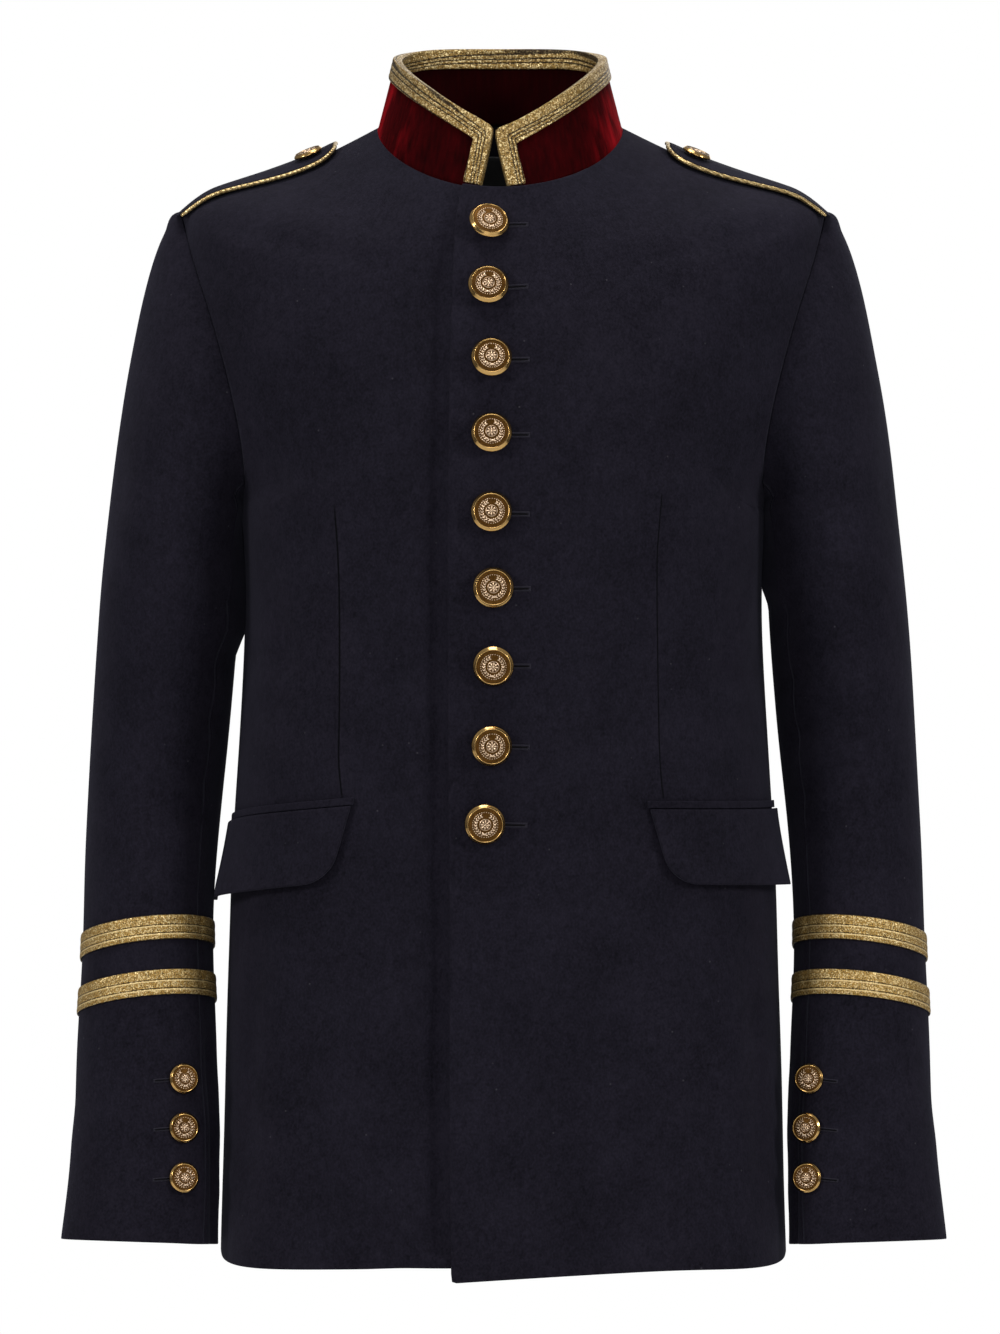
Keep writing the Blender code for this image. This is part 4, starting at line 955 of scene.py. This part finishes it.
# Raised work on a button: two laurel sprays that meet at the foot, round an eight-petalled rosette
def raisedWork(look, x, y):
    height = np.zeros_like(x)
    long, wide = look["leaf"]
    for way in (1.0, -1.0):
        for k in range(look["leaves"]):
            turn = -math.pi / 2 + way * (0.22 + k * 2.72 / look["leaves"])
            for row, lean in ((0.62, 0.55), (-0.62, -0.55)):
                radius = look["wreath"] + row * wide * 2.6
                middleX, middleY = radius * math.cos(turn), radius * math.sin(turn)
                heading = turn + way * (math.pi / 2 - lean)
                along = (x - middleX) * math.cos(heading) + (y - middleY) * math.sin(heading)
                across = -(x - middleX) * math.sin(heading) + (y - middleY) * math.cos(heading)
                leaf = 1.0 - (along / long) ** 2 - (across / (wide * (1.0 - 0.35 * along / long))) ** 2
                height = np.maximum(height, np.sqrt(unit(leaf)))
    radius, turn = np.hypot(x, y), np.arctan2(y, x)
    size = look["rosette"]
    petal = unit(np.cos(4.0 * turn) ** 2 * 1.25 - (radius / size - 0.58) ** 2 * 5.0) ** 0.6
    height = np.maximum(height, np.where(radius < size, petal, 0.0))
    height = np.maximum(height, np.sqrt(unit(1.0 - (radius / (0.24 * size)) ** 2)) * 1.15)
    ring = 1.0 - ((radius - size * 1.16) / 0.22) ** 2
    height = np.maximum(height, 0.8 * unit(ring))
    beadRadius, count = look["beads"]
    spot = (turn * count / math.tau) % 1.0 - 0.5
    bead = 1.0 - ((radius - beadRadius) / 0.30) ** 2 - (spot * math.tau * beadRadius / count / 0.34) ** 2
    height = np.maximum(height, np.sqrt(unit(bead)))
    tie = unit(1.0 - (x / (0.9 * long)) ** 2 - ((y + look["wreath"]) / (0.7 * long)) ** 2) ** 0.5
    return np.maximum(height, tie)


def buttonMesh(look):
    bm = bmesh.new()
    face = np.linspace(look["ground"], 0.0, look["rings"] + 1)
    dome = [(r, look["groundHeight"] + look["dome"] * (1.0 - (r / look["ground"]) ** 2)) for r in face]
    line = [bm.verts.new((r * mm, 0.0, h * mm)) for r, h in look["line"] + dome]
    for pair in zip(line, line[1:]):
        bm.edges.new(pair)
    bmesh.ops.spin(
        bm, geom=bm.verts[:] + bm.edges[:], cent=(0.0, 0.0, 0.0), axis=(0.0, 0.0, 1.0),
        angle=math.tau, steps=look["steps"], use_merge=True,
    )
    bmesh.ops.remove_doubles(bm, verts=bm.verts, dist=2e-6)
    bmesh.ops.recalc_face_normals(bm, faces=bm.faces)
    mesh = meshOf("button", bm)
    points = readPoints(mesh)
    x, y, radius = points[:, 0] / mm, points[:, 1] / mm, np.hypot(points[:, 0], points[:, 1]) / mm
    onFace = (radius < look["ground"] - 0.05) & (points[:, 2] > (look["groundHeight"] - 0.1) * mm)
    work = np.where(onFace, raisedWork(look, x, y), 0.0)
    points[:, 2] += work * look["relief"] * mm
    writePoints(mesh, points)
    low, high = look["rim"]
    rim = np.where((radius > low + 0.05) & (radius < high), 1.0, 0.0)
    paint(mesh, "rim", rim)
    paint(mesh, "relief", unit(work * 1.25))
    return mesh


def placeOf(node):
    points = readPoints(nodes[node].data)
    points = np.unique(np.round(points, 7), axis=0)
    middle = points.mean(axis=0)
    _, _, axes = np.linalg.svd(points - middle)
    axis = axes[2]
    depth = (points - middle) @ axis
    wide = np.linalg.norm(points - middle - depth[:, None] * axis, axis=1)
    if axis @ (0.0, -1.0, 0.35) < 0.0:
        axis = -axis
    centre = points[np.abs(wide - wide.max()) < 0.0006].mean(axis=0)
    base = ((points - centre) @ axis).min()
    return Vector(centre + axis * base), Vector(axis)


# A button leans on its shank by "lean". On a cuff it sits on the swollen cloth, turned to the front.
def placeButton(node, shared, spin, lean, forward=0.0, cloth=None):
    foot, facing = placeOf(node)
    if cloth:
        foot = cloth.ray_cast(foot + facing * 0.03, -facing)[0] + facing * 0.4 * mm
    facing = facing.lerp(Vector((0.0, -1.0, 0.0)), forward).normalized()
    facing = (facing + Vector(lean)).normalized()
    foot = foot + facing * 1.6 * mm * min(Vector(lean).length / 0.2, 1.0)
    mesh = shared.copy()
    up = Vector((0.0, 0.0, 1.0)) if abs(facing.z) < 0.75 else Vector((0.0, 1.0, 0.0))
    right = up.cross(facing).normalized()
    up = facing.cross(right).normalized()
    basis = np.array([tuple(right), tuple(up), tuple(facing)])
    turn = math.radians(spin)
    cosine, sine = math.cos(turn), math.sin(turn)
    spun = np.array(((cosine, sine, 0.0), (-sine, cosine, 0.0), (0.0, 0.0, 1.0)))
    writePoints(mesh, readPoints(mesh) @ spun @ basis + np.array(tuple(foot)))
    pieces[node] = newPiece(camel(node), mesh, brass, [node])


bigMesh, smallMesh = buttonMesh(bigButton), buttonMesh(smallButton)
frontButtonLeans = [  # spin in degrees, then how far the face turns to the wearer's left and up
    (4, 0.19, 0.13), (-6, 0.10, 0.20), (2, 0.04, 0.15), (7, 0.05, 0.12), (-3, 0.02, 0.15), (5, 0.02, 0.04),
    (-8, 0.03, -0.15), (1, 0.08, -0.11), (-5, 0.13, -0.10),
]
cuffButtonLeans = ((3, 0.06, 0.08), (-7, -0.04, 0.06), (6, 0.05, 0.10))
for i, (spin, aside, up) in enumerate(frontButtonLeans):
    placeButton(f"button_front_{i + 1}", bigMesh, spin, (aside, 0.0, up))
for side in ("left", "right"):
    cloth = clothTree(f"top_sleeve_{side}")
    for i, (spin, aside, up) in enumerate(cuffButtonLeans):
        placeButton(f"cuff_button_{side}_{i + 1}", smallMesh, spin, (aside, 0.0, up), 0.5, cloth)
    placeButton(f"epaulette_button_{side}", smallMesh, 10, (0.0, 0.0, 0.0))
print("buttons made")


fromFront = Vector((0.0, 1.0, 0.0))


# A narrow strip laid on the cloth, cast onto it along "way". "line" gives the way along it; "lift", its
# height over the cloth in mm, and the function after it, how dark the painted shade of its cut or fold is,
# are given for a place along and across.
def layStrip(name, tree, line, size, lift, slit, material, way=fromFront, before=0.3):
    bm = bmesh.new()
    width, columns, rows = size
    bmesh.ops.create_grid(bm, x_segments=columns, y_segments=rows, size=0.5)
    values = {}
    for vert in bm.verts:
        along, across = vert.co.x + 0.5, vert.co.y
        ahead = line(min(along + 0.01, 1.0)) - line(max(along - 0.01, 0.0))
        aside = ahead.cross(way).normalized()
        hit, normal, _, _ = tree.ray_cast(line(along) + aside * across * width * mm - way * before, way)
        if normal.dot(way) > 0.0:
            normal = -normal
        vert.co = hit + normal * lift(along, across) * mm
        values[vert.index] = slit(along, across)
    bmesh.ops.recalc_face_normals(bm, faces=bm.faces)
    bm.faces.ensure_lookup_table()
    if bm.faces[len(bm.faces) // 2].normal.dot(way) > 0.0:
        bmesh.ops.reverse_faces(bm, faces=bm.faces)
    mesh = meshOf(name, bm)
    paint(mesh, "slit", [values[i] for i in range(len(mesh.vertices))])
    newPiece(name, mesh, material)


holeLook = {
    "front": (4.0, 30, 13), "cuff": (3.0, 26, 11),    # width in mm, then steps along and across
    "ridge": 0.60, "slit": 0.15, "start": 6.0, "reach": 16.5, "cuffLine": (2.0, 17.0),
    "slopes": (-0.03, -0.06, -0.02, 0.0, 0.02, -0.02, 0.0, 0.03, 0.02),    # the front ones, from the top
}


def holeLift(along, across):
    bar = math.exp(-((1.0 - along) * 14.0) ** 2) + math.exp(-(along * 14.0) ** 2)
    ridge = math.exp(-((abs(across) - 0.26) / 0.1) ** 2)
    edge = max(0.0, 1.0 - (abs(across) / 0.5) ** 6) * max(0.0, 1.0 - (abs(along * 2.0 - 1.0)) ** 40)
    return -0.12 + (holeLook["ridge"] * max(ridge, min(bar, 1.0) * (abs(across) < 0.36)) + 0.16) * edge


# Painted shade in the buttonhole's cut: 1 along its middle, 0 at the stitches
def holeGapShade(along, across):
    inside = 1.0 if 0.04 < along < 0.93 else 0.0
    return inside * max(0.0, 1.0 - (abs(across) / holeLook["slit"]) ** 4)


frontTree = clothTree("front_left")
for i, slope in enumerate(holeLook["slopes"]):
    foot, _ = placeOf(f"button_front_{i + 1}")
    start = foot.x + holeLook["start"] * mm
    run = holeLook["reach"] * mm + (foot.x + 7.0 * mm) * 0.4 - start
    line = lambda t, a=start, r=run, z=foot.z - 0.8 * mm, s=slope: Vector((a + r * t, 0.0, z - s * r * t))
    layStrip(f"frontButtonhole{i + 1}", frontTree, line, holeLook["front"], holeLift, holeGapShade, silk)

# The strip's width in mm and its steps along and across, the height of the step in mm, and the half width of
# the painted shade in the fold, as a share of the width
dartLook = {"size": (4.6, 110, 20), "step": 0.62, "fold": 0.14}
dartLines = {
    "right": [(-104.5, -213), (-101.5, -250), (-101.0, -300), (-101.3, -350), (-102.0, -374), (-99.5, -396)],
    "left": [(97.0, -207), (95.0, -230), (93.5, -250), (94.8, -340), (95.8, -378), (98.0, -396)],
}


# The cloth rises to the fold from one side, with a dark line of painted shade in the fold just past its
# crest, and fades at the ends
def dartEnds(along):
    return min(1.0, along * 9.0, (1.0 - along) * 14.0)


def dartLift(along, across):
    crest = max(0.0, 1.0 - abs(across + 0.06) / 0.44) ** 1.5
    return -0.1 + (dartLook["step"] * crest + 0.14 * (1.0 - (2.0 * across) ** 6)) * dartEnds(along)


# How dark the painted shade in the fold is, 0 to 1
def dartFoldShade(along, across):
    return dartEnds(along) * max(0.0, 1.0 - (abs(across - 0.06) / dartLook["fold"]) ** 3)


for side, marks in dartLines.items():
    points = roundedLine(np.array([(x, 0.0, z) for x, z in marks])) * mm
    share = np.linspace(0.0, 1.0, len(points))
    line = lambda t, p=points, s=share: Vector([np.interp(t, s, p[:, i]) for i in range(3)])
    tree = clothTree(f"front_{side}")
    layStrip(f"{side}FrontDart", tree, line, dartLook["size"], dartLift, dartFoldShade, foldShadedWool)

for side, sign in (("left", 1.0), ("right", -1.0)):
    tree = clothTree(f"top_sleeve_{side}", f"under_sleeve_{side}")
    start, run = holeLook["cuffLine"]
    for i in range(3):
        foot, facing = placeOf(f"cuff_button_{side}_{i + 1}")
        outside = Vector((0.0, 0.0, 1.0)).cross(facing).normalized() * sign
        line = lambda t, f=foot, o=outside, n=facing: f + o * (start + run * t) * mm + n * 0.004
        name = f"{side}CuffButtonhole{i + 1}"
        layStrip(name, tree, line, holeLook["cuff"], holeLift, holeGapShade, silk, -facing, 0.06)
print("buttonholes and darts made")


stageLook = {"floor": -1.46, "size": 3.0, "paper": (0.86, 0.86, 0.85)}


def makeStage():
    bm = bmesh.new()
    bmesh.ops.create_grid(bm, x_segments=2, y_segments=2, size=stageLook["size"])
    mesh = meshOf("floor", bm)
    points = readPoints(mesh)
    points[:, 2] = stageLook["floor"]
    writePoints(mesh, points)
    material, _, _ = startMaterial("paper", stageLook["paper"], Roughness=0.9)
    mesh.materials.append(material)
    floor = placed("floor", mesh)


def makeWorld():
    world = bpy.data.worlds.new("studio")
    scene.world = world
    world.use_nodes = True
    tree = world.node_tree
    shown = tree.nodes["Background"]
    shown.inputs[0].default_value = (1.0, 1.0, 1.0, 1.0)
    shown.inputs[1].default_value = 1.0
    way = addNode(tree, "ShaderNodeSeparateXYZ")
    tree.links.new(addNode(tree, "ShaderNodeTexCoord").outputs["Generated"], way.inputs[0])
    fill = addNode(tree, "ShaderNodeBackground", Color=(0.95, 0.97, 1.0, 1.0))
    tree.links.new(stretched(tree, way.outputs[2], -0.4, 0.9, 0.07, 0.40), fill.inputs[1])
    path = addNode(tree, "ShaderNodeLightPath")
    mixed = addNode(tree, "ShaderNodeMixShader")
    tree.links.new(path.outputs["Is Camera Ray"], mixed.inputs[0])
    tree.links.new(fill.outputs[0], mixed.inputs[1])
    tree.links.new(shown.outputs[0], mixed.inputs[2])
    tree.links.new(mixed.outputs[0], tree.nodes["World Output"].inputs[0])


lamps = [  # name, place, watts, size, where it points
    ("key", (-2.4, -1.7, 0.8), 39.0, 0.7, (0.0, 0.0, -0.3)),
    ("fill", (2.4, -1.7, 0.7), 41.0, 0.7, (0.0, 0.0, -0.35)),
    ("low", (0.0, -3.0, -0.9), 9.0, 1.2, (0.0, 0.0, -0.5)),
    ("front", (0.0, -3.0, 0.6), 8.0, 1.2, (0.0, 0.0, -0.3)),
    ("top", (-0.1, -0.4, 1.8), 25.0, 1.0, (0.0, 0.0, 0.0)),
    ("behind", (0.6, 2.3, 0.7), 16.0, 1.8, (0.0, 0.0, -0.3)),
]


def makeLights():
    for name, place, watts, size, target in lamps:
        light = bpy.data.lights.new(name, "AREA")
        light.energy = watts
        light.size = size
        lamp = placed(name, light)
        lamp.location = place
        lamp.rotation_euler = (Vector(target) - Vector(place)).to_track_quat("-Z", "Y").to_euler()


cameraLook = {"place": (-0.00224, -2.8, -0.315), "lens": 118.06, "sensor": 36.0}


def makeCamera():
    camera = bpy.data.cameras.new("camera")
    camera.sensor_width = cameraLook["sensor"]
    camera.lens = cameraLook["lens"]
    viewer = placed("camera", camera)
    viewer.location = cameraLook["place"]
    viewer.rotation_euler = (math.radians(90.0), 0.0, 0.0)
    scene.camera = viewer


makeStage()
makeWorld()
makeLights()
makeCamera()
scene.view_settings.view_transform = "Standard"
print("stage, lights and camera made")
